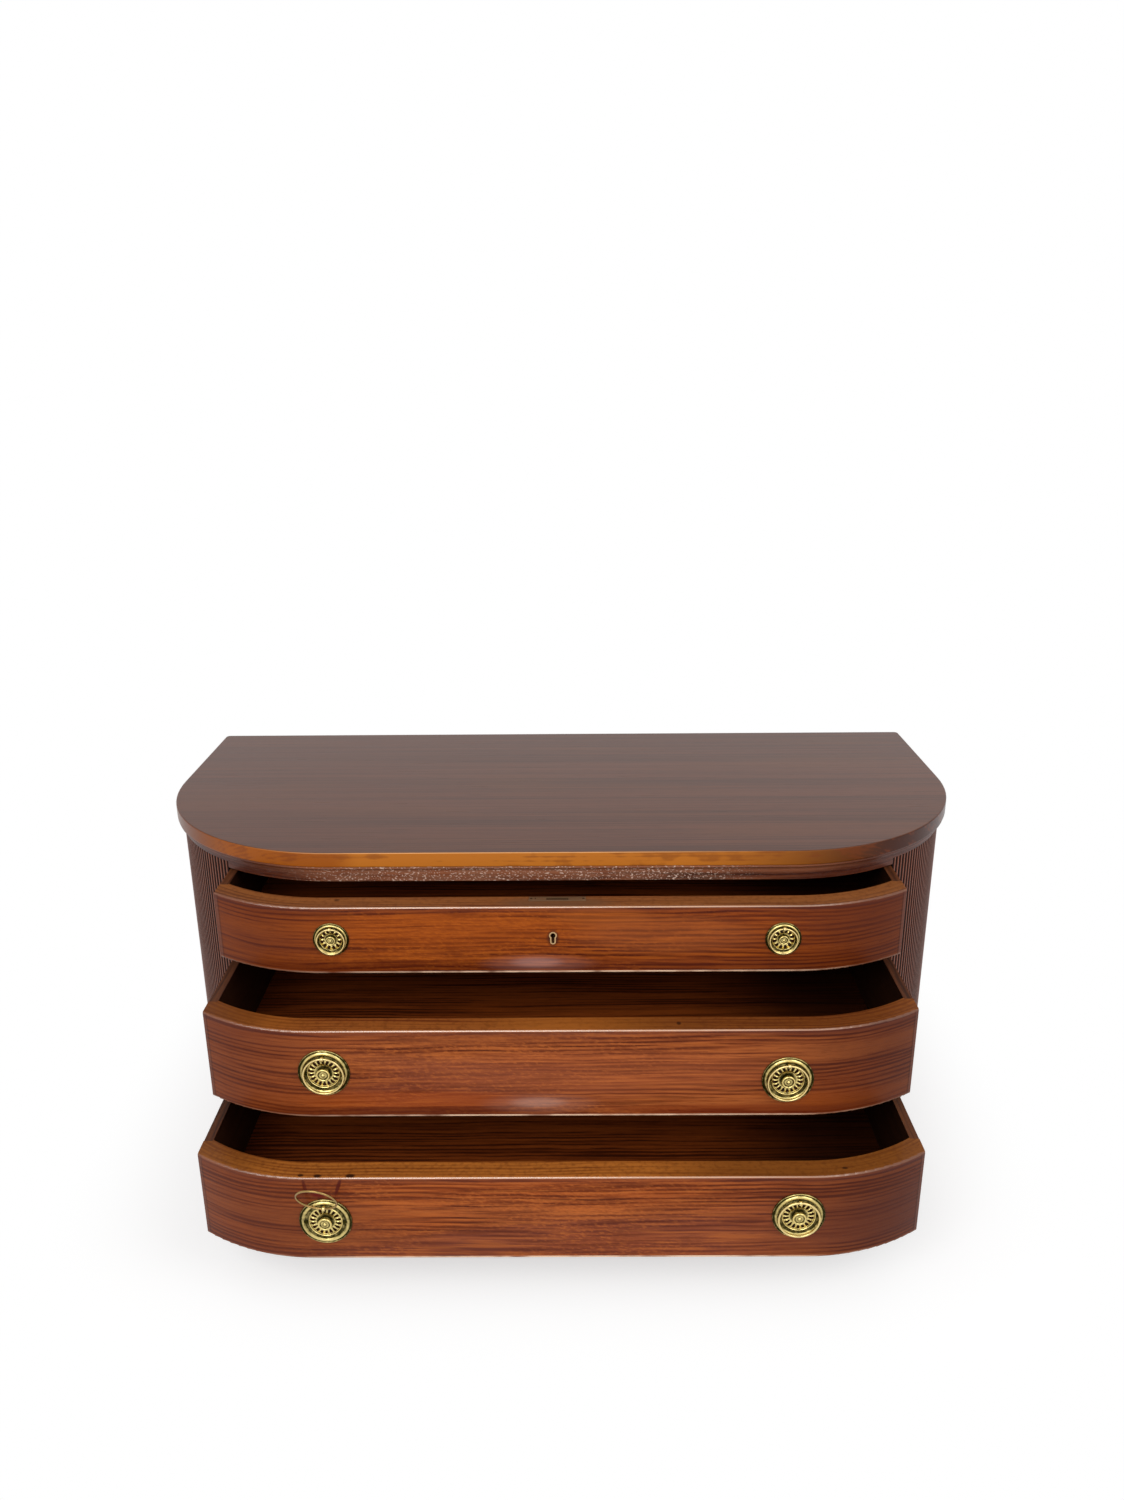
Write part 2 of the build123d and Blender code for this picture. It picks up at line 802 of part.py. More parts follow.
# Lock: the case with its plates is one brass and steel box, hollow where the bolt runs
with BuildPart() as lock_case:
    with Locations(lock_plane):
        for width, depth, height, drop in lock_pieces:
            add(lock_block(width, depth, height, drop))
    with Locations(lock_plane):
        with Locations((0, -case_middle, 0)):
            Box(
                bolt_width + 2 * fit_gap,
                bolt_thickness + 2 * fit_gap,
                bolt_height + bolt_head_drop + fit_gap,
                align=(Align.CENTER, Align.CENTER, Align.MAX),
                mode=Mode.SUBTRACT,
            )
    with BuildSketch(key_plane.offset(-front_thickness + case_middle)):
        add(hole_plan)
    extrude(amount=case_depth, mode=Mode.SUBTRACT)
    with BuildSketch(screw_plane):
        with GridLocations(2 * lock_screw_x, 2 * lock_screw_z, 2, 2):
            Circle(lock_screw_radius + screw_play)
    extrude(amount=-lock_plate_thickness, mode=Mode.SUBTRACT)
save(lock_case.part, "lock_case")

with BuildPart() as lock_bolt:
    with Locations(lock_plane):
        with Locations((0, -case_middle, -bolt_head_drop)):
            Box(bolt_width, bolt_thickness, bolt_height, align=(Align.CENTER, Align.CENTER, Align.MAX))
        with Locations((0, -case_middle, -bolt_head_drop - bolt_height)):
            Cylinder(talon_radius, bolt_thickness + overrun, rotation=(90, 0, 0), mode=Mode.SUBTRACT)
save(lock_bolt.part, "lock_bolt")

with BuildPart() as lock_screws:
    with BuildSketch(screw_plane):
        with GridLocations(2 * lock_screw_x, 2 * lock_screw_z, 2, 2):
            Circle(lock_screw_radius)
    extrude(amount=-lock_screw_length)
    with BuildSketch(screw_plane):
        with GridLocations(2 * lock_screw_x, 2 * lock_screw_z, 2, 2):
            Circle(lock_screw_head)
    extrude(amount=lock_screw_radius)
save(lock_screws.part, "lock_screws")

with BuildPart() as keyhole_lining:
    with BuildSketch(key_plane):
        add(lining_plan)
        add(hole_plan, mode=Mode.SUBTRACT)
    extrude(amount=-lining_depth)
save(keyhole_lining.part, "keyhole_lining")


# Handles

def plate_profile(handle):
    """Half the section of a plate: two beads at the rim, a flat ring, a collar and the dished middle."""
    edge = handle.plate_radius
    rim = edge * rim_share
    bead = edge * second_bead_share
    collar = edge * collar_outer_share
    inner = edge * collar_inner_share
    with BuildSketch() as profile:
        with BuildLine():
            Polyline((edge, rim_edge), (edge, 0), (0, 0), (0, dish_height), (inner, dish_height))
            ThreePointArc(
                (inner, dish_height), ((inner + collar) / 2, collar_height), (collar, annulus_height)
            )
            Line((collar, annulus_height), (bead, annulus_height))
            ThreePointArc((bead, annulus_height), ((bead + rim) / 2, bead_height), (rim, annulus_height))
            ThreePointArc((rim, annulus_height), ((rim + edge) / 2, rim_height), (edge, rim_edge))
        make_face()
    return profile.sketch


def make_plate(handle):
    """A round plate lying on z = 0, pierced round its dished middle."""
    turn = 360 / handle.slots
    slot_out = handle.plate_radius * slot_outer_share
    slot_in = handle.plate_radius * slot_inner_share
    wide_in = slot_in * sin(radians(turn)) * slot_width_shares[0] / 2
    wide_out = slot_out * sin(radians(turn)) * slot_width_shares[1] / 2
    with BuildPart() as plate:
        with BuildSketch(Plane.XZ):
            add(plate_profile(handle))
        revolve(axis=Axis.Z)
        with BuildSketch():
            with PolarLocations(0, handle.slots, start_angle=90 + turn / 2):
                Polygon(
                    (slot_in, -wide_in),
                    (slot_out, -wide_out),
                    (slot_out, wide_out),
                    (slot_in, wide_in),
                    align=None,
                )
            Circle(bolt_radius + washer_gap)
        extrude(amount=collar_height, mode=Mode.SUBTRACT)
    return plate.part


def make_bolt(handle):
    """The stepped boss with its shank through plate and front, and the square nut inside the drawer."""
    boss = handle.boss_radius
    rise = handle.boss_height
    lip = boss * boss_lip_share
    shank_end = front_thickness + nut_thickness + bolt_end
    with BuildPart() as bolt:
        with BuildSketch(Plane.XZ):
            with BuildLine():
                Polyline(
                    (0, -shank_end),
                    (bolt_radius, -shank_end),
                    (bolt_radius, dish_height),
                    (boss * boss_foot_share, dish_height),
                    (boss, rise * boss_shoulder_share),
                    (boss, rise * boss_crown_share),
                    (lip, rise),
                    (lip, rise * boss_well_share),
                    (0, rise * boss_well_share),
                    close=True,
                )
            make_face()
        revolve(axis=Axis.Z)
        with BuildSketch(Plane.XY.offset(-front_thickness)):
            Rectangle(nut_side, nut_side)
            Circle(bolt_radius + washer_gap, mode=Mode.SUBTRACT)
        extrude(amount=-nut_thickness)
    return bolt.part


def make_eye(handle):
    """The eye that the ring hangs in, standing on the plate's flat ring at twelve o'clock."""
    with BuildPart() as eye:
        with BuildSketch(Plane.YZ.offset(-handle.eye_width / 2)):
            with Locations((handle.pivot_height, (handle.standoff + annulus_height) / 2)):
                Rectangle(eye_stem, handle.standoff - annulus_height)
            with Locations((handle.pivot_height, handle.standoff)):
                Circle(handle.eye_radius)
                Circle(handle.wire_radius + eye_clearance, mode=Mode.SUBTRACT)
        extrude(amount=handle.eye_width)
    return eye.part


for drawer in drawers:
    for node, maker in (("plates", make_plate), ("handle_bolts", make_bolt), ("ring_eyes", make_eye)):
        unit = maker(drawer.handle)
        with BuildPart() as pair:
            with Locations(*face_planes(drawer)):
                add(unit)
        save(pair.part, f"{node}_{drawer.name}")


def make_ring(handle, plane):
    """A ring that hangs from the plane's origin, in the plane."""
    with BuildPart(plane) as ring:
        with Locations((0, -handle.ring_radius)):
            Torus(handle.ring_radius, handle.wire_radius)
    return ring.part


raised_axis = Axis((0, 0, 0), raised_line)
for drawer in drawers:
    for end, point in zip(("left", "right"), handle_points(drawer)):
        pivot = Vector(*point) + Vector(0, -drawer.handle.standoff, drawer.handle.pivot_height)
        across = Vector(1, 0, 0)
        out = Vector(0, -1, 0)
        if (drawer.name, end) == ("bottom", "left"):
            across = across.rotate(raised_axis, raised_angle)
            out = out.rotate(raised_axis, raised_angle)
        ring_plane = Plane(origin=pivot, x_dir=across, z_dir=out)
        save(make_ring(drawer.handle, ring_plane), f"ring_{end}_{drawer.name}")
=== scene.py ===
"""A demilune chest of drawers, dressed round its fixed frame.

Lengths are in metres, in the frame's own axes: the front faces -Y and the floor is z = 0. The finishes are
procedural and read Object coordinates, so that a pattern stays on its piece at every pose.
"""

import logging
import math
from dataclasses import dataclass, replace
from enum import Enum

import bmesh
import bpy
from bmesh.types import BMesh
from bpy.types import Material, Object, World
from mathutils import Matrix, Vector


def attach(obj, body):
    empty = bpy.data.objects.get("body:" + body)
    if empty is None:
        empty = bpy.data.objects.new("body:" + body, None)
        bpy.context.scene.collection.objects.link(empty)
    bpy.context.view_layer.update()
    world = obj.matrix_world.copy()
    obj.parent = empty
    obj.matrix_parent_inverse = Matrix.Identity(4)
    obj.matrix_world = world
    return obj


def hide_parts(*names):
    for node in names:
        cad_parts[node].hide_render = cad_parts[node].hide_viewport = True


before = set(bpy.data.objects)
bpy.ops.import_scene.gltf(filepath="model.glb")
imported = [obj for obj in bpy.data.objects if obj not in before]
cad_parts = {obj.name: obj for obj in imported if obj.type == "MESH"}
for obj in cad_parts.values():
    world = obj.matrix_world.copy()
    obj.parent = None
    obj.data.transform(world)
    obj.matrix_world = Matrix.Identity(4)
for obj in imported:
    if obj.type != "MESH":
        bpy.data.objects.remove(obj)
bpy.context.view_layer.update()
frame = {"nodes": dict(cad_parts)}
log = logging.getLogger("demilune_chest")

MM = 0.001

# Plan of the chest, as in the part's source
CORNER_X = 262.5 * MM
CORNER_Y = 21.5 * MM
CREST_RADIUS = 230.0 * MM
REED_DEPTH = 1.6 * MM
RIM_DEPTH = 60.0 * MM
FRONT_END = 390.2 * MM
FRONT_PLANE = -208.5  # millimetres, as the handles' sizes are

Colour = tuple[int, int, int]  # in steps of 0 to 255
Span = tuple[float, float]
Triple = tuple[float, float, float]

WHITE = (1.0, 1.0, 1.0, 1.0)


def shade(*steps: int) -> tuple[float, ...]:
    """Turn a colour of 0 to 255 steps, as a paint chart gives it, into linear light with full cover."""
    parts = [step / 255 for step in steps]
    return (*[part / 12.92 if part <= 0.04045 else ((part + 0.055) / 1.055) ** 2.4 for part in parts], 1.0)


class Signal:
    """A socket's value in a finish, with the arithmetic of plain numbers."""

    def __init__(self, recipe: "Recipe", socket: bpy.types.NodeSocket | None) -> None:
        """Wrap a socket of a recipe."""
        self.recipe = recipe
        self.socket = socket

    def _maths(self, operation: str, *terms: "Value") -> "Signal":
        """Add one Math node that works on the terms."""
        return self.recipe.add("Math", dict(enumerate(terms)), {"operation": operation})

    def __add__(self, other: "Value") -> "Signal":
        """Sum."""
        return self._maths("ADD", self, other)

    __radd__ = __add__

    def __sub__(self, other: "Value") -> "Signal":
        """Difference."""
        return self._maths("SUBTRACT", self, other)

    def __rsub__(self, other: float) -> "Signal":
        """Difference from a number."""
        return self._maths("SUBTRACT", other, self)

    def __mul__(self, other: "Value") -> "Signal":
        """Product."""
        return self._maths("MULTIPLY", self, other)

    __rmul__ = __mul__

    def __pow__(self, other: float) -> "Signal":
        """Power."""
        return self._maths("POWER", self, other)

    def __abs__(self) -> "Signal":
        """Distance from zero."""
        return self._maths("ABSOLUTE", self)

    def sign(self) -> "Signal":
        """One with this value's sign."""
        return self._maths("SIGN", self)

    def sine(self) -> "Signal":
        """The sine of an angle."""
        return self._maths("SINE", self)

    def most(self, other: "Value") -> "Signal":
        """The larger of two."""
        return self._maths("MAXIMUM", self, other)

    def angle_from(self, other: "Value") -> "Signal":
        """The angle whose sine goes with this value and whose cosine goes with the other."""
        return self._maths("ARCTAN2", self, other)

    def ease(self, start: float, full: float) -> "Signal":
        """Rise smoothly from 0 at one value to 1 at another, above or below it."""
        ends = {0: self, 1: start, 2: full, 3: 0.0, 4: 1.0}
        return self.recipe.add("MapRange", ends, {"interpolation_type": "SMOOTHSTEP"})


Value = Signal | float
Tint = Signal | Colour
Place = tuple[Signal, Signal, Signal]


class Recipe:
    """The node tree of one finish, or of the world."""

    def __init__(self, block: Material | World) -> None:
        """Empty a block's tree to fill it."""
        block.use_nodes = True
        self.block = block
        self.tree = block.node_tree
        self.tree.nodes.clear()

    def add(
        self, kind: str, values: dict | None = None, settings: dict | None = None, out: int | str = 0
    ) -> Signal:
        """Make a node, its settings first.

        Args:
            kind: The node's type without its ShaderNode prefix.
            values: What its sockets hold or are linked to, by name or number.
            settings: Its own settings. Under "stops" are a colour ramp's places and colours.
            out: The output that is wanted.

        Returns:
            That output.
        """
        node = self.tree.nodes.new(f"ShaderNode{kind}")
        for key, value in (settings or {}).items():
            if key == "stops":
                stops = node.color_ramp.elements
                while len(stops) < len(value):
                    stops.new(1.0)
                for stop, (place, colour) in zip(stops, value):
                    stop.position = place
                    stop.color = colour
            else:
                setattr(node, key, value)
        for key, value in (values or {}).items():
            socket = node.inputs[key]
            if isinstance(value, Signal):
                self.tree.links.new(value.socket, socket)
            else:
                socket.default_value = value
        return Signal(self, node.outputs[out] if node.outputs else None)

    def place(self) -> Place:
        """The three Object coordinates of a point."""
        spot = self.add("TexCoord", out="Object")
        return tuple(self.add("SeparateXYZ", {0: spot}, out=axis) for axis in range(3))

    def facing(self, axis: int) -> Signal:
        """How far a face looks along an axis: 1 straight along it, 0 square to it and -1 the other way."""
        return self.add("SeparateXYZ", {0: self.add("TexCoord", out="Normal")}, out=axis)

    def arris(self, wall: Span, level: Span) -> Signal:
        """1 on a rounded upper edge, and 0 on the wall under it and the level face over it."""
        up = self.facing(2)
        return up.ease(*wall) * up.ease(*level)

    def join(self, x: Signal, y: Signal, z: Signal) -> Signal:
        """Three values as one vector."""
        return self.add("CombineXYZ", {0: x, 1: y, 2: z})

    def noise(self, spot: Signal, stretch: Triple, detail: float, shift: float) -> Signal:
        """Smooth noise about zero.

        Args:
            spot: Where it is read.
            stretch: Lumps in a metre along each axis.
            detail: Finer layers on it.
            shift: Moves the pattern.

        Returns:
            The noise.
        """
        terms = {0: spot, 1: stretch, 2: (shift, 1.7 * shift, 0.6 * shift)}
        moved = self.add("VectorMath", terms, {"operation": "MULTIPLY_ADD"})
        return self.add("TexNoise", {"Vector": moved, "Scale": 1.0, "Detail": detail}) - 0.5

    def ramp(self, value: Signal, *stops: tuple[float, Colour]) -> Signal:
        """Colours along a value."""
        return self.add("ValToRGB", {0: value}, {"stops": [(at, shade(*colour)) for at, colour in stops]})

    def mix(self, share: Value, first: Tint, second: Tint, mode: str = "MIX") -> Signal:
        """Mix a share of a second colour into a first."""
        first, second = (each if isinstance(each, Signal) else shade(*each) for each in (first, second))
        return self.add(
            "Mix", {0: share, 6: first, 7: second}, {"data_type": "RGBA", "blend_type": mode}, out=2
        )

    def finish(self, **sockets: object) -> Material:
        """End the tree in one Principled shader. Its sockets have underscores in place of blanks."""
        values = {name.replace("_", " "): value for name, value in sockets.items()}
        return self.close(self.add("BsdfPrincipled", values))

    def close(self, shader: Signal, kind: str = "OutputMaterial") -> Material | World:
        """Link a shader to the output and give back the material or world."""
        self.add(kind, {0: shader})
        return self.block


@dataclass
class Coat:
    """The colour of a surface as it is built up, with the figure under it and the place of each point."""

    recipe: Recipe
    place: Place
    spot: Signal
    colour: Tint
    tone: Value = 0.5
    shift: float = 0.0

    def lay(self, share: Value, over: Tint, mode: str = "MIX") -> None:
        """Mix a share of another colour over it."""
        self.colour = self.recipe.mix(share, self.colour, over, mode)

    def noise(self, stretch: Triple, detail: float, number: float) -> Signal:
        """One of the surface's own noises, by number."""
        return self.recipe.noise(self.spot, stretch, detail, self.shift + number)


@dataclass(frozen=True)
class Glaze:
    """A tone that comes in along a measure, from where it starts to where it has its full share."""

    tone: Colour
    share: float
    start: float
    full: float

    def lay(self, coat: Coat, measure: Signal, where: Value = 1.0) -> None:
        """Lay the glaze on a coat along a measure, and only where it is wanted."""
        coat.lay(measure.ease(self.start, self.full) * self.share * where, self.tone)


@dataclass(frozen=True)
class Mark:
    """A soft spot on a surface, in metres: a stain, a rubbed place, a warm patch, a painted shade or
    highlight.
    """

    along: float
    up: float
    width: float
    tall: float
    tone: Colour = (40, 18, 10)
    strength: float = 0.8
    lean: float = 0.0
    core: float = 0.15

    def lay(self, coat: Coat, along: Signal, up: Signal) -> None:
        """Lay the mark on a coat.

        Args:
            coat: The colour so far.
            along: Distance along the surface.
            up: Distance up or across it.
        """
        rise = up - self.up
        side = (along - self.along - rise * self.lean) * (1 / self.width)
        rise = rise * (1 / self.tall)
        coat.lay((side * side + rise * rise).ease(1.0, self.core) * self.strength, self.tone)


class Run(Enum):
    """Which way the grain of a board runs."""

    ROUND = "round the bow of the front"
    ACROSS = "from left to right"
    BACK = "from front to back"
    UP = "upwards"


@dataclass(frozen=True)
class Wood:
    """Timber with its figure and polish. Widths are of one line of the figure."""

    name: str
    dark: Colour
    middle: Colour
    light: Colour
    warm: Colour
    run: Run = Run.ACROSS
    bow_y: float = CORNER_Y
    ribbon: float = 0.0055
    ribbon_length: float = 0.1
    wander: float = 0.012
    contrast: float = 1.0
    flame: float = 0.9
    stripe: float = 0.15
    warmth: float = 0.5
    roughness: float = 0.34
    specular: float = 0.2
    relief: float = 0.2
    shift: float = 0.0

    def wrap(self, x: Signal, y: Signal) -> tuple[Signal, Signal]:
        """Measure along and across a bow of straight front and round corners.

        Args:
            x: Object x.
            y: Object y.

        Returns:
            The distance along the bow from the middle, and the distance from the line of corner centres.
        """
        past = (abs(x) - CORNER_X).most(0.0)
        ahead = (self.bow_y - y).most(0.0001)
        across = (past * past + ahead * ahead) ** 0.5
        along = abs(x) - past + past.angle_from(ahead) * across
        return along * x.sign(), across

    def turn(self, place: Place) -> Place:
        """Turn a place to the grain.

        Args:
            place: The Object coordinates.

        Returns:
            The distances along the grain and across it.
        """
        x, y, z = place
        if self.run is Run.ROUND:
            along, across = self.wrap(x, y)
            return along, across.most(CREST_RADIUS - RIM_DEPTH), z
        return {Run.ACROSS: (x, y, z), Run.BACK: (y, x, z), Run.UP: (z, x, y)}[self.run]

    def layer(self, spot: Signal, along: float, across: float, detail: float, number: float) -> Signal:
        """Noise in the grain, with so many lumps in the length and in the width of a ribbon."""
        stretch = (along / self.ribbon_length, across / self.ribbon, across / self.ribbon)
        return spot.recipe.noise(spot, stretch, detail, self.shift + number)

    def dress(self, coat: Coat) -> None:
        """Add what one kind of board has of its own. Plain timber has nothing."""

    def polish(self, recipe: Recipe) -> dict[str, object]:
        """Sockets of the clear polish, where a board has more of it in places. Plain timber has none."""
        return {}

    def make(self) -> Material:
        """Make the finish.

        Returns:
            The material.
        """
        recipe = Recipe(bpy.data.materials.new(self.name))
        place = recipe.place()
        grain, across, other = self.turn(place)
        spot = recipe.join(grain, across, other)
        # The grain strays a little from straight
        stray = recipe.noise(spot, (5.0, 11.0, 11.0), 2.0, self.shift + 3) * self.wander
        bent = recipe.join(grain, across + stray, other + stray)
        # From the broadest figure to the finest
        bands = self.layer(bent, 0.4, 0.15, 1.0, 0)
        lines = self.layer(bent, 1, 1, 2.0, 7)
        fibre = self.layer(bent, 6, 4, 1.0, 11)
        pores = self.layer(bent, 14, 9, 0.0, 17).ease(0.13, 0.2)
        # Ribbon stripes, which swing out of step from place to place
        swing = self.layer(bent, 0.7, 0.3, 1.0, 21) * 10.0
        wave = ((across + other + stray) * (math.tau / (1.25 * self.ribbon)) + swing).sine()
        stripe = ((wave + 1.0) * 0.5) ** 2.0 * (bands + lines).ease(0.3, -0.2) * 1.6
        figure = bands * 0.55 + lines * self.flame + fibre * 0.45 - (stripe - 0.4) * self.stripe
        tone = figure * self.contrast + 0.5
        colour = recipe.ramp(tone, (0.3, self.dark), (0.48, self.middle), (0.72, self.light))
        coat = Coat(recipe, place, recipe.join(*place), colour, tone, self.shift)
        # Warm patches, then dark pores
        drift = recipe.noise(spot, (3.6, 13, 13), 1.0, self.shift + 5)
        glow = (drift + lines * 0.4).ease(0.02, 0.2) * self.warmth
        coat.lay(glow, recipe.mix(0.45, self.warm, colour))
        coat.lay(pores * 0.3, self.dark, "MULTIPLY")
        self.dress(coat)
        height = fibre * 0.6 + lines * 0.5 - pores * 0.5
        bump = recipe.add("Bump", {"Strength": self.relief, "Distance": 0.3 * MM, "Height": height})
        return recipe.finish(
            Base_Color=coat.colour,
            Roughness=fibre * 0.1 + self.roughness,
            Normal=bump,
            Specular_IOR_Level=self.specular,
            **self.polish(recipe),
        )


@dataclass(frozen=True)
class EdgedTop(Wood):
    """The polished top with its lighter edge, which darkens towards the ends in painted shade, and a painted
    highlight on its arris.
    """

    dull_left: Glaze = Glaze((84, 40, 18), 0.3, 0.02, 0.4)
    edge: Colour = (194, 114, 32)
    edge_bend: Glaze = Glaze((152, 74, 8), 0.75, 0.225, 0.262)
    # Painted shade: the edge darkens towards both ends, where the bow turns from the light
    edge_left_shade: Glaze = Glaze((60, 20, 2), 0.7, 0.36, 0.47)
    edge_right_shade: Glaze = Glaze((60, 20, 2), 1.0, 0.12, 0.4)
    edge_flame: Glaze = Glaze((120, 54, 14), 0.5, 0.04, -0.2)
    # Painted highlight along the rounded arris of the edge
    arris: Glaze = Glaze((244, 184, 124), 0.6, 0.34, 0.12)
    arris_highlight_middle: float = -0.06
    edge_back: Span = (0.19, 0.15)
    arris_highlight_back: Span = (0.1, 0.0)

    def dress(self, coat: Coat) -> None:
        """Colour the edge, from the front back to the straight sides, with painted shade at its ends and a
        painted highlight on its arris.

        Args:
            coat: The colour of the top.
        """
        x, y, _ = coat.place
        left = x * -1
        edge = replace(coat, colour=self.edge)
        self.edge_bend.lay(edge, left)
        # Painted shade towards both ends of the edge
        self.edge_left_shade.lay(edge, left)
        self.edge_right_shade.lay(edge, x)
        self.edge_flame.lay(edge, coat.noise((40.0, 40.0, 60.0), 2.0, 2) + (coat.tone - 0.5) * 0.6)
        self.dull_left.lay(coat, left)
        steep = abs(coat.recipe.facing(2)).ease(0.9, 0.5)
        coat.lay(steep * y.ease(*self.edge_back), edge.colour)
        # Painted highlight on the rounded arris, brightest near the middle
        rounded = coat.recipe.arris((0.2, 0.45), (0.96, 0.8)) * y.ease(*self.arris_highlight_back)
        self.arris.lay(coat, abs(x - self.arris_highlight_middle), rounded)


@dataclass(frozen=True)
class Frieze(Wood):
    """The frieze, with painted glints as bright specks and a painted sheen along the middle."""

    # Painted glints and a painted sheen: the light that the polish reflects along the middle
    specks: Glaze = Glaze((236, 204, 184), 0.9, 0.06, 0.19)
    painted_sheen: Glaze = Glaze((160, 116, 92), 0.3, -0.2, 0.1)
    # Painted light, which lightens the cove where shade falls under the top
    cove: Glaze = Glaze((176, 108, 74), 0.6, 0.427, 0.436)
    # Painted shade towards both ends of the frieze
    ends: Glaze = Glaze((64, 20, 8), 0.7, 0.2, 0.34)
    painted_glint_middle: float = -0.04
    painted_glint_reach: Span = (0.29, 0.174)
    cove_light_reach: Span = (0.4, 0.25)
    end_shade_middle: float = -0.03

    def dress(self, coat: Coat) -> None:
        """Paint the glints and the sheen along the middle, light into the cove and shade towards the ends.

        Args:
            coat: The colour of the frieze.
        """
        x, _, z = coat.place
        middle = abs(x - self.painted_glint_middle).ease(*self.painted_glint_reach)
        # Painted shade towards the ends
        self.ends.lay(coat, abs(x - self.end_shade_middle))
        # Painted light in the cove
        self.cove.lay(coat, z, abs(x).ease(*self.cove_light_reach))
        # Painted sheen and painted glints along the middle
        self.painted_sheen.lay(coat, coat.noise((26.0, 26.0, 90.0), 1.0, 8), middle)
        self.specks.lay(coat, coat.noise((380.0, 380.0, 560.0), 1.0, 5), middle)


@dataclass(frozen=True)
class Reeding(Wood):
    """The reeded ends, with painted shade in the valleys and a painted highlight on the crests."""

    # Painted highlight on the crests and painted shade in the valleys of the reeds
    crest: Glaze = Glaze((176, 110, 86), 0.5, CREST_RADIUS - 0.12 * REED_DEPTH, CREST_RADIUS)
    valley_shade: Glaze = Glaze(
        (12, 5, 3), 0.95, CREST_RADIUS - 0.04 * REED_DEPTH, CREST_RADIUS - 0.5 * REED_DEPTH
    )

    def dress(self, coat: Coat) -> None:
        """Paint a highlight on the crests and shade in the valleys.

        Args:
            coat: The colour of the reeding.
        """
        across = self.wrap(*coat.place[:2])[1]
        # Painted highlight on the crests, then painted shade in the valleys
        self.crest.lay(coat, across)
        self.valley_shade.lay(coat, across)


@dataclass(frozen=True)
class DrawerSide(Wood):
    """A drawer's side, with painted shade on its inner face."""

    # Painted shade on the inner face
    inner: Glaze = Glaze((26, 11, 4), 0.85, -0.2, -0.7)

    def dress(self, coat: Coat) -> None:
        """Darken the inner face, which looks towards the middle, with painted shade."""
        # Painted shade on the inner face
        self.inner.lay(coat, coat.recipe.facing(0) * coat.place[0].sign())


@dataclass(frozen=True)
class BackBoards(Wood):
    """The plain back, of boards laid edge to edge."""

    joints: Triple = (0.162, 0.256, 0.348)
    gap: float = 1.4 * MM
    seam: float = 0.2 * MM
    crack: Colour = (22, 12, 7)

    def dress(self, coat: Coat) -> None:
        """Draw the joints between the boards and give each board a tone of its own.

        Args:
            coat: The colour of the back.
        """
        z = coat.place[2]
        for joint in self.joints:
            coat.lay(abs(z - joint).ease(self.gap, 0.4 * self.gap), self.crack)
        low, middle, high = (z.ease(joint - self.seam, joint + self.seam) for joint in self.joints)
        coat.lay(low * (1 - middle) * 0.25, self.dark)
        coat.lay(high * 0.3, self.warm)


@dataclass(frozen=True)
class DrawerBottom(Wood):
    """A drawer's bottom, with painted shade along the front and towards the ends."""

    # Painted shade along the front and in the corners
    corner: Colour = (24, 9, 3)
    corner_shade_share: float = 0.85
    along_front: Span = (0.13, 0.205)
    to_ends: Span = (0.16, 0.4)

    def dress(self, coat: Coat) -> None:
        """Darken the front and the ends with painted shade.

        Args:
            coat: The colour of the bottom.
        """
        x, y, _ = coat.place
        front = self.wrap(x, y)[1].ease(*self.along_front)
        ends = (abs(x - 0.02) + x * 0.35).ease(*self.to_ends)
        # Painted shade along the front and towards the ends
        coat.lay(front.most(ends) * self.corner_shade_share, self.corner)


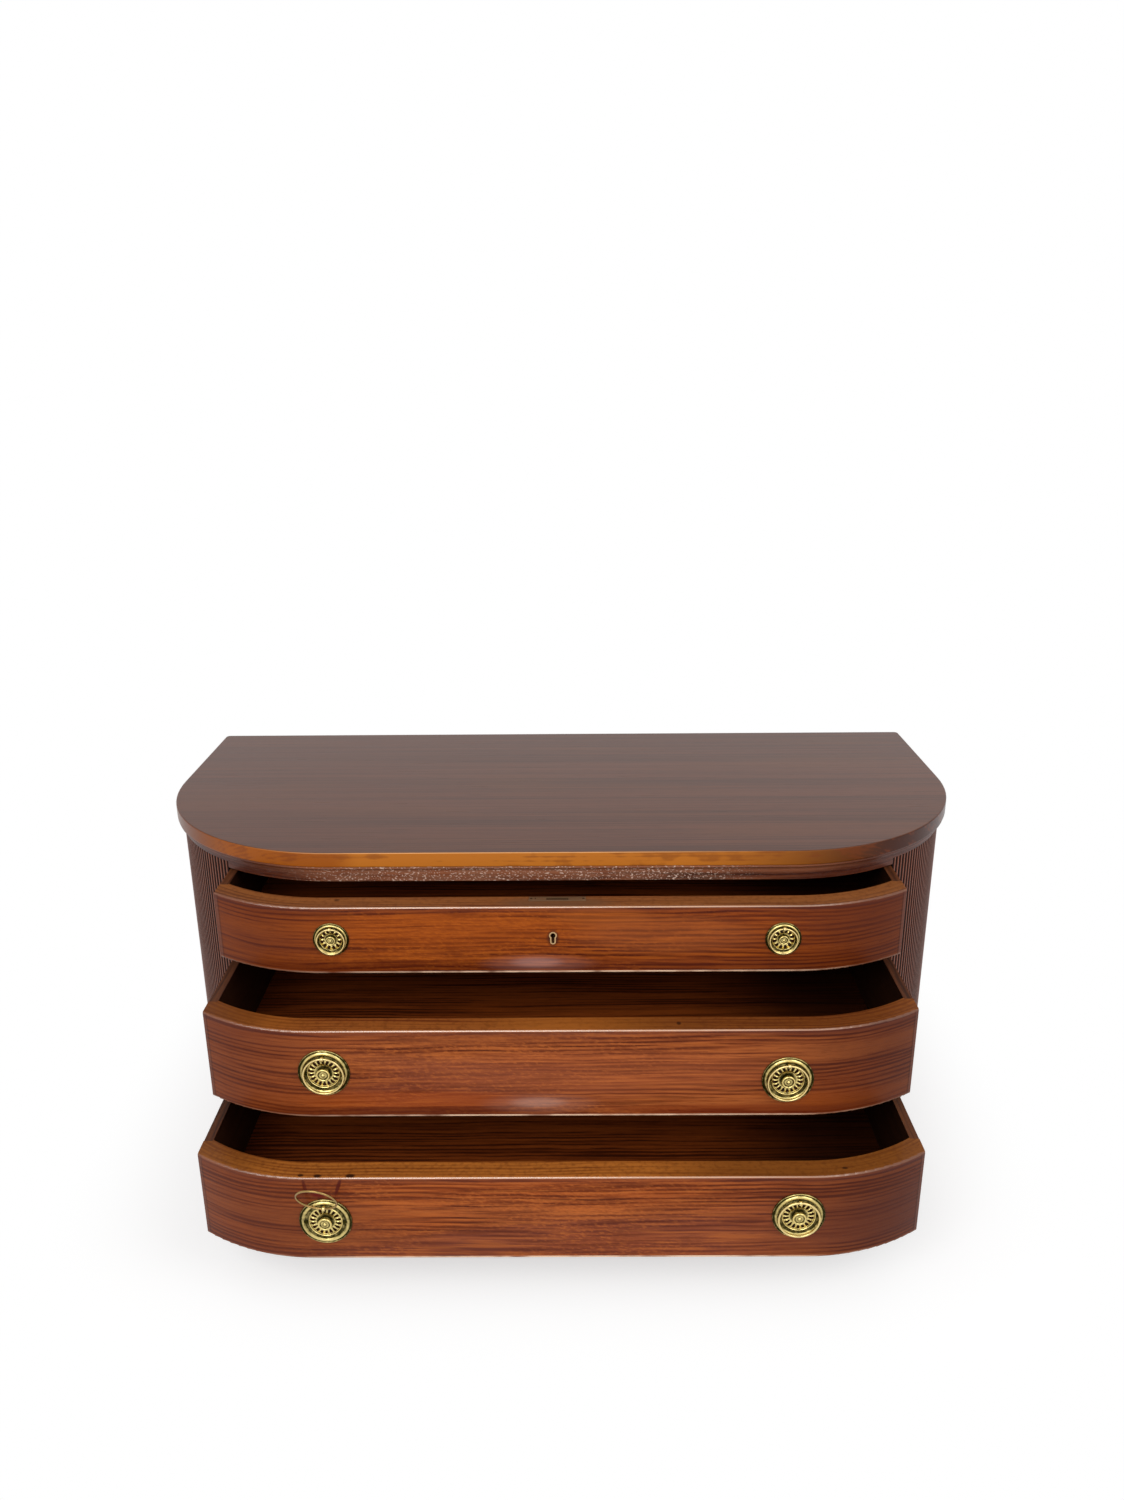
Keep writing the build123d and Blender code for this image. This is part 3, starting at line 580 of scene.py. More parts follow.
@dataclass(frozen=True)
class FrontVeneer(Wood):
    """A drawer front: ribbon figure with chatter in the middle, a lipped edge all round, its marks, painted
    light and shade.
    """

    head: float = 0.0
    foot: float = 0.0
    fleck: Colour = (196, 108, 48)
    chatter: float = 0.9
    chatter_middle: float = -0.06
    chatter_reach: Span = (0.32, 0.1)
    streak_reach: Span = (0.34, 0.2)
    mauve: Colour = (118, 60, 46)
    mauve_share: float = 0.5
    # Painted shade towards the ends of the front, deeper at the right
    left_end_shade: Glaze = Glaze((90, 36, 16), 0.55, 0.18, 0.36)
    right_end_shade: Glaze = Glaze((62, 18, 4), 0.7, 0.16, 0.37)
    # Painted shade in a band just below the upper edge
    shade_under_lip: Glaze = Glaze((88, 44, 36), 0.4, -9.0 * MM, -3.0 * MM)
    end_line: Glaze = Glaze((52, 22, 12), 0.45, FRONT_END - 5.2 * MM, FRONT_END - 4.2 * MM)
    # The lipping at each end, coloured as a mauve painted highlight
    end_lip_and_highlight: Glaze = Glaze((108, 72, 62), 0.55, FRONT_END - 3.4 * MM, FRONT_END - 2.6 * MM)
    lipping: Colour = (160, 98, 40)
    lipping_dark: Colour = (104, 52, 20)
    lipping_pores: Glaze = Glaze((84, 36, 12), 0.35, 0.05, -0.2)
    lipping_glow: Glaze = Glaze((176, 104, 34), 0.3, -0.04, 0.12)
    # Painted highlight on the rounded upper arris
    arris: Colour = (222, 164, 118)
    arris_highlight_share: float = 0.7
    arris_highlight_reach: Span = (0.36, 0.15)
    polish_reach: Span = (0.36, 0.2)
    # Painted highlight along the lower edge
    glint: Colour = (250, 212, 180)
    glint_middle: float = 0.02
    glint_reach: Span = (0.36, 0.12)
    foot_lip: Span = (3.4 * MM, 2.6 * MM)
    foot_round: Span = (0.2 * MM, 1.2 * MM)
    face: tuple[Mark, ...] = ()
    crest: tuple[Mark, ...] = ()

    def dress(self, coat: Coat) -> None:
        """Add the figure of the face, its marks, the lipping with its own marks, painted shade and painted
        highlights on the edges.

        Args:
            coat: The colour of the front.
        """
        x, y, z = coat.place
        side = abs(x)
        slanting = coat.recipe.join(x + z * 0.7, y, z)
        flecks = coat.recipe.noise(slanting, (190.0, 190.0, 480.0), 2.0, self.shift + 9)
        blush = coat.noise((2.6, 2.6, 16.0), 1.0, 27)
        coat.lay(blush.ease(0.0, 0.16) * self.mauve_share, self.mauve)
        patch = coat.noise((7.0, 7.0, 22.0), 1.0, 13).ease(-0.16, 0.06)
        zone = patch * abs(x - self.chatter_middle).ease(*self.chatter_reach) * self.chatter
        coat.lay(flecks.ease(-0.01, -0.16) * zone * 0.3, self.dark)
        coat.lay(flecks.ease(0.02, 0.17) * zone * 0.4, self.fleck)
        streak = coat.noise((14.0, 14.0, 330.0), 1.0, 51)
        zone = side.ease(*self.streak_reach)
        coat.lay(streak.ease(0.0, -0.2) * zone * 0.5, self.dark)
        coat.lay(streak.ease(0.02, 0.2) * zone * 0.35, self.fleck)
        for mark in self.face:
            mark.lay(coat, x, z)
        # Painted shade towards the ends
        self.left_end_shade.lay(coat, x * -1)
        self.right_end_shade.lay(coat, x)
        self.end_line.lay(coat, side, 1 - side.ease(self.end_lip_and_highlight.start, self.end_lip_and_highlight.full))
        # The lipping at the ends, painted as a highlight
        self.end_lip_and_highlight.lay(coat, side)
        # Painted shade below the upper edge
        self.shade_under_lip.lay(coat, z - self.head)
        self.lip(coat, flecks, blush)
        # Painted highlight along the upper arris, brightest in the middle
        line = coat.recipe.arris((0.12, 0.4), (0.97, 0.8)) * (side.ease(*self.arris_highlight_reach) * 0.85 + 0.15)
        coat.lay(line * self.arris_highlight_share, self.arris)
        # Painted highlight just above the lower edge, broken in places, brightest in the middle
        highlight_breaks = coat.noise((30.0, 30.0, 1.0), 2.0, 33).ease(-0.3, 0.1)
        low = z - self.foot
        line = low.ease(*self.foot_lip) * low.ease(*self.foot_round) * highlight_breaks
        middle = abs(x - self.glint_middle).ease(*self.glint_reach)
        coat.lay(line * (middle * 0.85 + 0.1), self.glint)

    def lip(self, coat: Coat, flecks: Signal, blush: Signal) -> None:
        """Colour the lipping that the front shows on top.

        Args:
            coat: The colour of the front.
            flecks: The flecks of the front.
            blush: Its slow changes of tone.
        """
        tone = coat.tone.ease(0.05, 0.95)
        top = replace(coat, colour=coat.recipe.mix(tone, self.lipping_dark, self.lipping))
        self.lipping_pores.lay(top, flecks)
        self.lipping_glow.lay(top, blush)
        for mark in self.crest:
            mark.lay(top, *coat.place[:2])
        coat.lay(coat.recipe.facing(2).ease(0.75, 0.97), top.colour)

    def polish(self, recipe: Recipe) -> dict[str, object]:
        """Leave the polish thick on the arrises, most of all in the middle.

        Args:
            recipe: The finish being made.

        Returns:
            The polish's sockets.
        """
        middle = abs(recipe.place()[0]).ease(*self.polish_reach)
        line = recipe.arris((0.1, 0.35), (0.97, 0.8)) * (middle * 0.8 + 0.2)
        return {"Coat_Weight": line, "Coat_Roughness": 0.16, "Coat_IOR": 2.2}


@dataclass(frozen=True)
class Metal:
    """Brass or steel, bright on the high places and dull where polish never reaches."""

    name: str
    bright: Colour
    dull: Colour
    roughness: float = 0.2
    tarnish: float = 0.35
    marks: tuple[Mark, ...] = ()

    def make(self) -> Material:
        """Make the finish. A piece's own "hollow" attribute says where it has darkened, by patina and by
        painted shade.

        Returns:
            The material.
        """
        recipe = Recipe(bpy.data.materials.new(self.name))
        place = recipe.place()
        spot = recipe.join(*place)
        hollow = recipe.add("Attribute", None, {"attribute_name": "hollow"}, out="Fac")
        cloud = recipe.noise(spot, (260, 260, 260), 3.0, 2.0)
        specks = recipe.noise(spot, (1500, 1500, 1500), 2.0, 4.0)
        dark = (hollow + (cloud * 0.9 + specks * 0.5) * (hollow * 0.8 + self.tarnish)).ease(0.0, 0.9)
        coat = Coat(recipe, place, spot, recipe.mix(dark, self.bright, self.dull))
        for mark in self.marks:
            mark.lay(coat, *place[:2])
        bump = recipe.add("Bump", {"Strength": 0.2, "Distance": 0.2 * MM, "Height": specks + cloud * 2.0})
        rough = dark * 0.3 + self.roughness
        return recipe.finish(Base_Color=coat.colour, Metallic=1.0, Roughness=rough, Normal=bump)


# Finishes of the chest: a name, the dark, middle, light and warm tones, then the figure and the polish
TOP_WOOD = EdgedTop(
    "polished_top", (78, 46, 33), (92, 54, 38), (103, 61, 43), (104, 62, 34),
    ribbon=0.0045, ribbon_length=0.5, wander=0.004, contrast=0.8, stripe=0.22, roughness=0.3,
    specular=0.175, relief=0.05,
)
MAHOGANY = Wood(
    "mahogany", (54, 26, 13), (96, 50, 26), (126, 68, 36), (132, 68, 28),
    run=Run.ROUND, ribbon_length=0.16, flame=0.6, stripe=0.2, contrast=0.7, specular=0.22,
    relief=0.3, shift=31.0,
)
FRIEZE = Frieze(
    "frieze_polish", (62, 28, 16), (112, 58, 36), (146, 84, 54), (144, 74, 38),
    run=Run.ROUND, ribbon=0.003, roughness=0.36, specular=0.3, relief=0.6, shift=37.0,
)
REEDED = Reeding(
    "reeded_mahogany", (60, 28, 19), (78, 38, 26), (92, 47, 33), (92, 44, 26),
    run=Run.UP, ribbon=0.012, ribbon_length=0.3, wander=0.002, contrast=0.6, roughness=0.36,
    specular=0.1, relief=0.1, shift=43.0,
)
CARCASS = Wood(
    "carcass_wood", (66, 36, 20), (98, 57, 32), (120, 73, 42), (118, 72, 38),
    contrast=0.7, roughness=0.6, specular=0.15, shift=53.0,
)
BACK = BackBoards(
    "back_boards", (66, 40, 24), (96, 62, 38), (116, 78, 48), (112, 72, 42),
    ribbon=0.009, ribbon_length=0.45, wander=0.02, flame=0.6, contrast=0.7, roughness=0.7,
    specular=0.1, shift=73.0,
)
LINING = Wood(
    "drawer_lining", (70, 32, 13), (118, 58, 27), (150, 80, 38), (152, 78, 30),
    ribbon=0.005, ribbon_length=0.2, stripe=0.25, roughness=0.5, specular=0.15, shift=61.0,
)
BOTTOM = DrawerBottom(
    "drawer_bottom", (72, 28, 9), (128, 58, 20), (160, 78, 28), (164, 78, 20),
    ribbon=0.005, ribbon_length=0.2, stripe=0.25, contrast=0.7, roughness=0.5, specular=0.12,
    shift=61.0,
)
LINING_SIDE = DrawerSide(
    "drawer_side", (58, 30, 16), (88, 48, 26), (108, 62, 34), (106, 60, 28),
    run=Run.BACK, ribbon=0.006, ribbon_length=0.2, flame=0.6, contrast=0.8, roughness=0.5,
    specular=0.15, shift=67.0,
)
FRONT_WOOD = FrontVeneer(
    "front_veneer", (88, 34, 12), (138, 66, 28), (170, 91, 44), (178, 81, 20),
    run=Run.ROUND, ribbon=0.0042, ribbon_length=0.2, flame=0.55, stripe=0.28, contrast=0.9,
    roughness=0.3, specular=0.09,
)

# Finishes of the metal pieces: a name, the bright and the dull tone
BRASS = Metal("brass", (226, 204, 132), (48, 44, 10), tarnish=0.5)
RING_BRASS = Metal("ring_brass", (228, 204, 140), (110, 88, 40), tarnish=0.5)
# A darker copy of the ring brass for the raised ring: painted shade for the dark wood it reflects
SHADED_RING_BRASS = Metal("worn_brass", (162, 132, 80), (70, 54, 26), roughness=0.3, tarnish=0.6)
KEYHOLE_BRASS = Metal("keyhole_brass", (204, 170, 124), (102, 74, 44), roughness=0.3)
LOCK_BRASS = Metal(
    "lock_brass", (147, 126, 98), (76, 62, 44), roughness=0.4, tarnish=0.6,
    marks=(
        Mark(-0.0315, -0.252, 0.0018, 0.0018, (24, 16, 10), 0.9),
        Mark(-0.027, -0.252, 0.001, 0.0022, (30, 20, 12), 0.8),
        Mark(0.0265, -0.252, 0.0018, 0.0018, (24, 16, 10), 0.9),
    ),
)
LOCK_STEEL = Metal("lock_steel", (96, 82, 62), (48, 40, 30), roughness=0.4, tarnish=0.6)
STEEL = Metal("steel", (150, 146, 140), (60, 52, 46), roughness=0.4, tarnish=0.6)


def put(name: str, data: bpy.types.ID, place: Matrix = Matrix()) -> Object:
    """Put a mesh, a lamp or a camera into the scene.

    Args:
        name: Its name.
        data: Its mesh, lamp or camera data.
        place: Where it stands. A mesh has its place in its points and stays at the origin.

    Returns:
        The object.
    """
    thing = bpy.data.objects.new(name, data)
    thing.matrix_world = place
    bpy.context.scene.collection.objects.link(thing)
    return thing


# Radius, height and hollowness of each point of a large handle's turned shapes, in millimetres
LARGE_PLATE, LARGE_BOSS, LARGE_RISE = 28.0, 7.5, 7.0
PLATE = (
    (28.0, 0.0, 0.7), (28.0, 0.9, 0.4), (27.8, 1.45, 0.4), (27.4, 1.7, 0.35), (27.0, 1.5, 0.5),  # rim
    (26.6, 1.15, 0.8), (26.2, 1.1, 1.0), (25.8, 1.3, 0.8),  # groove
    (25.3, 2.0, 0.2), (24.7, 2.55, 0.0), (24.0, 2.8, 0.0), (23.3, 2.7, 0.0), (22.6, 2.3, 0.2),  # bead
    # The sunk ring's hollowness is patina, deepened into a painted shadow of the hanging ring
    (22.1, 1.8, 0.5), (21.6, 1.45, 0.8), (20.8, 1.3, 0.75), (19.6, 1.3, 0.67), (18.7, 1.4, 0.75),  # sunk ring
    (18.2, 1.8, 0.5), (17.8, 2.4, 0.1), (17.4, 2.7, 0.0), (17.0, 2.5, 0.0), (16.7, 1.7, 0.3),  # collar
)
PLATE_DISH = ((0.5, 1.0, 0.45), (1.5, 1.05, 0.65), (2.8, 1.1, 0.8))  # inwards from the slots
PLATE_SIDE_REFLECTION, PIN_PLACE, PIN_HOLE = 22.3, 20.4, 1.5  # radii
BOSS = (
    (6.0, 1.5, 0.7), (5.6, 2.1, 0.6), (5.3, 3.0, 0.4), (5.7, 3.8, 0.6), (6.6, 4.4, 0.4),  # foot
    (7.3, 4.9, 0.2), (7.5, 5.5, 0.15), (7.4, 6.2, 0.1), (7.0, 6.75, 0.0), (6.4, 6.95, 0.0),  # edge
    (5.8, 6.75, 0.1), (5.4, 6.2, 0.5), (5.0, 5.8, 0.8), (4.4, 5.9, 0.6), (3.8, 6.2, 0.3),  # rings
    (3.2, 6.3, 0.3), (2.6, 6.1, 0.5), (2.0, 6.0, 0.6), (1.5, 6.3, 0.2), (1.2, 6.7, 0.0),  # dish
    (0.7, 6.98, 0.0), (0.0, 7.0, 0.0),  # tip
)

# Half the width of a slot, as a share of a petal's and a slot's, from its inner end
SLOT_WIDTHS = (0.12, 0.19, 0.22, 0.25, 0.28, 0.3, 0.22)
SLOT_COLUMNS = 0.3


@dataclass
class Handle:
    """Sizes of a stamped round plate with its boss and bolt, in millimetres."""

    radius: float
    slots: int
    boss: float
    rise: float
    wire: float
    hang: float
    stand_off: float
    slot_in: float = 0.36
    slot_out: float = 0.58
    shank: float = 2.5
    columns: int = 10
    sheet: float = 0.5
    # Painted reflection: how much darker the beads are at three and nine o'clock
    dark_side_reflection: float = 0.38
    front: float = 25.0
    nut: Triple = (12.0, 12.0, 4.0)

    def spin(self, profile: list[Triple], steps: int) -> BMesh:
        """Turn a profile about the plate's axis.

        Args:
            profile: Radius, height and hollowness of each point, from the rim to the middle.
            steps: How many steps a full turn has.

        Returns:
            The turned shape in a new bmesh.
        """
        bm = bmesh.new()
        layer = bm.verts.layers.float.new("hollow")
        verts = []
        for radius, height, hollow in profile:
            vert = bm.verts.new((radius, 0, height))
            vert[layer] = hollow
            verts.append(vert)
        edges = [bm.edges.new(pair) for pair in zip(verts, verts[1:])]
        bmesh.ops.spin(
            bm, geom=verts + edges, cent=(0, 0, 0), axis=(0, 0, 1), angle=math.tau, steps=steps,
            use_merge=True,
        )
        bmesh.ops.remove_doubles(bm, verts=bm.verts, dist=0.0005)
        return bm

    def block(self, bm: BMesh, size: Triple, middle: Triple, bevel: float) -> None:
        """Add a block with softened edges.

        Args:
            bm: Where it is added.
            size: Its sizes.
            middle: Its middle.
            bevel: Width of its bevels.
        """
        verts = bmesh.ops.create_cube(bm, size=1.0)["verts"]
        bmesh.ops.scale(bm, verts=verts, vec=size)
        bmesh.ops.translate(bm, verts=verts, vec=middle)
        edges = list({edge for vert in verts for edge in vert.link_edges})
        bmesh.ops.bevel(
            bm, geom=edges, offset=bevel, segments=2, profile=0.5, affect="EDGES", material=-1,
            clamp_overlap=True,
        )

    def plate(self) -> BMesh:
        """The stamped plate: a rim, a round bead, a sunk ring with two pin holes, a collar and a rosette.

        Returns:
            The plate about its own axis, its back on z = 0.
        """
        size = self.radius / LARGE_PLATE
        inner, outer = self.slot_in * self.radius, self.slot_out * self.radius
        last = len(SLOT_WIDTHS) - 1
        rows = [inner + (outer - inner) * row / last for row in range(last + 1)]
        profile = [
            *[(radius * size, height, hollow) for radius, height, hollow in PLATE],
            (outer + 0.25 * size, 1.2, 0.6),
            *[(radius, 1.0, 0.35) for radius in reversed(rows)],
            *[(inner - step * size, height, hollow) for step, height, hollow in PLATE_DISH],
            (2.8, 1.1, 0.9),
        ]
        bm = self.spin(profile, self.slots * self.columns)
        self.paint_side_reflection(bm, PLATE_SIDE_REFLECTION * size)
        self.pierce(bm, rows)
        self.pin_holes(bm, PIN_PLACE * size, PIN_HOLE * size)
        bmesh.ops.recalc_face_normals(bm, faces=bm.faces)
        bmesh.ops.solidify(bm, geom=bm.faces, thickness=self.sheet)
        return bm

    def paint_side_reflection(self, bm: BMesh, inner: float) -> None:
        """Darken the plate's beads at three and nine o'clock: a painted reflection of the dark surroundings
        that the bead's sides face.

        Args:
            bm: The turned plate.
            inner: Radius outside which it darkens.
        """
        layer = bm.verts.layers.float["hollow"]
        for vert in bm.verts:
            radius = math.hypot(vert.co.x, vert.co.y)
            if radius > inner:
                # Painted reflection, darker at the sides of the beads
                vert[layer] = min(1.0, vert[layer] + self.dark_side_reflection * (vert.co.x / radius) ** 2)

    def pierce(self, bm: BMesh, rows: list[float]) -> None:
        """Cut the tapered slots and round the petals between them.

        Args:
            bm: The turned plate.
            rows: Radii of the rows of vertices in the rosette, from its inner end.
        """
        layer = bm.verts.layers.float["hollow"]
        sector = math.tau / self.slots
        doomed = set()
        for vert in bm.verts:
            radius = math.hypot(vert.co.x, vert.co.y)
            if not rows[0] - 0.01 <= radius <= rows[-1] + 0.01:
                continue
            row = min(range(len(rows)), key=lambda number: abs(rows[number] - radius))
            turn = math.atan2(vert.co.y, vert.co.x) / sector
            share = turn - math.floor(turn) - 0.5
            width = SLOT_WIDTHS[row]
            if abs(share) <= SLOT_COLUMNS + 0.01:
                moved = share * width / SLOT_COLUMNS
                doomed.add(vert)
            else:
                out = (abs(share) - SLOT_COLUMNS) / (0.5 - SLOT_COLUMNS)
                moved = math.copysign(width + out * (0.5 - width), share)
            spread = math.sin(math.pi * row / (len(rows) - 1))
            crown = max(0.0, (abs(moved) - width) / (0.5 - width))
            vert.co.z += (0.25 + 1.0 * crown) * spread
            vert[layer] = 0.8 * (1 - crown) * spread
            angle = (math.floor(turn) + 0.5 + moved) * sector
            vert.co.x, vert.co.y = radius * math.cos(angle), radius * math.sin(angle)
        cut = [face for face in bm.faces if all(vert in doomed for vert in face.verts)]
        bmesh.ops.delete(bm, geom=cut, context="FACES")

    def pin_holes(self, bm: BMesh, radius: float, hole: float) -> None:
        """Sink the two small pin holes at three and nine o'clock.

        Args:
            bm: The plate.
            radius: How far out they are.
            hole: Their radius.
        """
        layer = bm.verts.layers.float["hollow"]
        reach, depth = 1.6 * hole, 0.9
        for middle in (Vector((-radius, 0)), Vector((radius, 0))):
            for vert in bm.verts:
                away = (vert.co.xy - middle).length / reach
                if away < 1:
                    vert.co.z -= depth * (1 - away) ** 0.5
                    vert[layer] = 1.0

    def lug(self) -> BMesh:
        """The small eye that the ring hangs in, a short tube on a stem at twelve o'clock.

        Returns:
            The lug on the plate's own axes.
        """
        half, bore, wall = 1.45, self.wire + 0.75, self.wire + 1.35
        flat, shoulder = half - 0.3, wall - 0.25
        tube = [(wall, -flat, 0.1), (wall, flat, 0.1), (shoulder, half, 0.3), (bore, half, 0.6)]
        tube += [(bore, -half, 0.6), (shoulder, -half, 0.3), (wall, -flat, 0.1)]
        bm = self.spin(tube, 28)
        quarter = Matrix.Rotation(math.radians(90), 3, "Y")
        bmesh.ops.rotate(bm, verts=bm.verts, cent=(0, 0, 0), matrix=quarter)
        bmesh.ops.translate(bm, verts=bm.verts, vec=(0, self.hang, self.stand_off))
        foot, head = 1.0, self.stand_off - bore - 0.1
        self.block(bm, (2.2, 1.8, head - foot), (0, self.hang, (head + foot) / 2), 0.25)
        bmesh.ops.recalc_face_normals(bm, faces=bm.faces)
        return bm

    def bolt(self) -> BMesh:
        """The turned boss on its shank, and the square nut that holds it inside the drawer.

        Returns:
            The bolt about its own axis.
        """
        wide, tall = self.boss / LARGE_BOSS, self.rise / LARGE_RISE
        seat, chamfer, end = 0.9, 0.6, -self.front - self.nut[2] - 2.0
        profile = [
            (0.0, end, 0.5), (self.shank - chamfer, end, 0.5), (self.shank, end + chamfer, 0.5),
            (self.shank, seat, 0.9), (6.0 * wide, seat, 0.9),
            *[(radius * wide, height * tall, hollow) for radius, height, hollow in BOSS],
        ]
        bm = self.spin(profile, 48)
        self.block(bm, self.nut, (0, 0, -self.front - self.nut[2] / 2), 0.8)
        bmesh.ops.recalc_face_normals(bm, faces=bm.faces)
        return bm


LARGE = Handle(radius=28.0, slots=18, boss=7.5, rise=7.0, wire=1.1, hang=19.5, stand_off=5.0)
SMALL = Handle(radius=20.0, slots=12, boss=5.5, rise=5.5, wire=0.95, hang=13.8, stand_off=4.4)


@dataclass
class Drawer:
    """One drawer: its finish, and the places of its two plates in millimetres."""

    name: str
    handle: Handle
    opening: float
    places: tuple[Span, ...]
    front_wood: FrontVeneer
    bottom_wood: DrawerBottom

    def stand(self, place: Span) -> Matrix:
        """What takes a handle from its own axis, in millimetres, to its place on the front, in metres."""
        spot = Vector((place[0], FRONT_PLANE - self.opening, place[1]))
        return Matrix.Scale(MM, 4) @ Matrix.Translation(spot) @ Matrix.Rotation(math.radians(90), 4, "X")

    def pair(self, name: str, shape: BMesh, metal: Material) -> Object:
        """Set the same shape at both of the drawer's handles, as one piece.

        Args:
            name: The piece's name.
            shape: The shape about its own axis, in millimetres.
            metal: Its finish.

        Returns:
            The piece.
        """
        mesh = bpy.data.meshes.new(name)
        shape.to_mesh(mesh)
        shape.free()
        both = bmesh.new()
        for place in self.places:
            start = len(both.verts)
            both.from_mesh(mesh)
            both.verts.ensure_lookup_table()
            bmesh.ops.transform(both, matrix=self.stand(place), verts=both.verts[start:])
        both.to_mesh(mesh)
        both.free()
        mesh.materials.append(metal)
        mesh.polygons.foreach_set("use_smooth", [True] * len(mesh.polygons))
        mesh.set_sharp_from_angle(angle=math.radians(50))
        return put(name, mesh)

    def build(self, stamped: Material, plain: Material) -> None:
        """Make the drawer's plates, bolts and lugs and put them on it.

        Args:
            stamped: The finish of the plates and bolts.
            plain: The finish of the lugs.
        """
        for name, shape, node, metal in (
            (f"rosettes_{self.name}", self.handle.plate(), f"plates_{self.name}", stamped),
            (f"bosses_{self.name}", self.handle.bolt(), f"handle_bolts_{self.name}", stamped),
            (f"lugs_{self.name}", self.handle.lug(), f"ring_eyes_{self.name}", plain),
        ):
            piece = self.pair(name, shape, metal)
            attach(piece, f"drawer_{self.name}")
            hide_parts(node)
            log.info("%s: %d faces", name, len(piece.data.polygons))


@dataclass
class Studio:
    """Floor, world, lamps and camera."""

    lens: float = 27.024
    position: Triple = (0.012263, -1.382402, 0.980564)
    pitch: float = 0.329347
    yaw: float = -0.0072866
    roll: float = -0.008052
    floor_span: float = 30.0
    floor_matt: float = 0.8
    floor_grey: float = 0.55
    floor_glow: float = 0.565
    shadow_middle: float = -0.06
    shadow_half: Span = (0.43, 0.24)
    shadow_fade: Span = (0.0, 0.21)
    sky_glow: float = 0.55
    aim: Triple = (0.0, -0.2, 0.25)

    def camera(self) -> None:
        """Stand the camera where the photograph was taken."""
        turn = Matrix.Rotation(-self.yaw, 4, "Z") @ Matrix.Rotation(math.pi / 2 - self.pitch, 4, "X")
        turn = Matrix.Translation(self.position) @ turn @ Matrix.Rotation(self.roll, 4, "Z")
        data = bpy.data.cameras.new("camera")
        data.lens = self.lens
        data.sensor_width = 36.0
        data.clip_end = 200.0
        bpy.context.scene.camera = put("camera", data, turn)

    def seen(self, recipe: Recipe) -> Signal:
        """1 on the rays that show the background: what the camera sees, straight or in polish and glass."""
        rays = [recipe.add("LightPath", out=f"Is {ray} Ray") for ray in ("Camera", "Glossy", "Transmission")]
        return rays[0].most(rays[1]).most(rays[2])

    def floor(self) -> None:
        """Lay the pale floor, which shows the object's shadow and is white away from it."""
        bm = bmesh.new()
        bmesh.ops.create_grid(bm, x_segments=1, y_segments=1, size=self.floor_span)
        mesh = bpy.data.meshes.new("floor")
        bm.to_mesh(mesh)
        bm.free()
        recipe = Recipe(bpy.data.materials.new("pale_floor"))
        x, y, _ = recipe.place()
        side = (abs(x) - self.shadow_half[0]).most(0.0)
        depth = (abs(y - self.shadow_middle) - self.shadow_half[1]).most(0.0)
        fade = ((side * side + depth * depth) ** 0.5).ease(*self.shadow_fade)
        tones, glows = (self.floor_matt, self.floor_grey), (self.floor_glow, 1.0)
        matt, grey = (recipe.add("BsdfDiffuse", {"Color": (*[tone] * 3, 1)}) for tone in tones)
        light, white = (recipe.add("Emission", {"Color": WHITE, "Strength": glow}) for glow in glows)
        near = recipe.add("AddShader", {0: grey, 1: light})
        shown = recipe.add("MixShader", {0: fade, 1: near, 2: white})
        mesh.materials.append(
            recipe.close(recipe.add("MixShader", {0: self.seen(recipe), 1: matt, 2: shown}))
        )
        put("floor", mesh)

    def sky(self) -> None:
        """Fill the world with white that the camera sees and softer light that falls on the object."""
        world = bpy.data.worlds.new("studio")
        bpy.context.scene.world = world
        recipe = Recipe(world)
        glows = (self.sky_glow, 1.0)
        soft, white = (recipe.add("Background", {"Color": WHITE, "Strength": glow}) for glow in glows)
        recipe.close(recipe.add("MixShader", {0: self.seen(recipe), 1: soft, 2: white}), "OutputWorld")

    def lamp(self, name: str, spot: Triple, size: Span, power: float) -> None:
        """Hang a soft rectangular lamp that points at the chest.

        Args:
            name: Its name.
            spot: Where it hangs.
            size: Its width and height.
            power: Its power in watts.
        """
        data = bpy.data.lights.new(name, "AREA")
        data.shape = "RECTANGLE"
        data.size, data.size_y = size
        data.energy = power
        turn = (Vector(self.aim) - Vector(spot)).to_track_quat("-Z", "Y").to_matrix().to_4x4()
        put(name, data, Matrix.Translation(spot) @ turn).visible_camera = False

    def build(self) -> None:
        """Set up everything round the object."""
        bpy.context.scene.view_settings.view_transform = "Standard"
        self.camera()
        self.floor()
        self.sky()
        self.lamp("key", spot=(-0.9, -2.6, 2.4), size=(2.2, 1.6), power=42.0)
        self.lamp("fill", spot=(1.8, -1.6, 1.8), size=(1.6, 1.6), power=16.0)
        log.info("studio: floor, world, two lamps and camera")


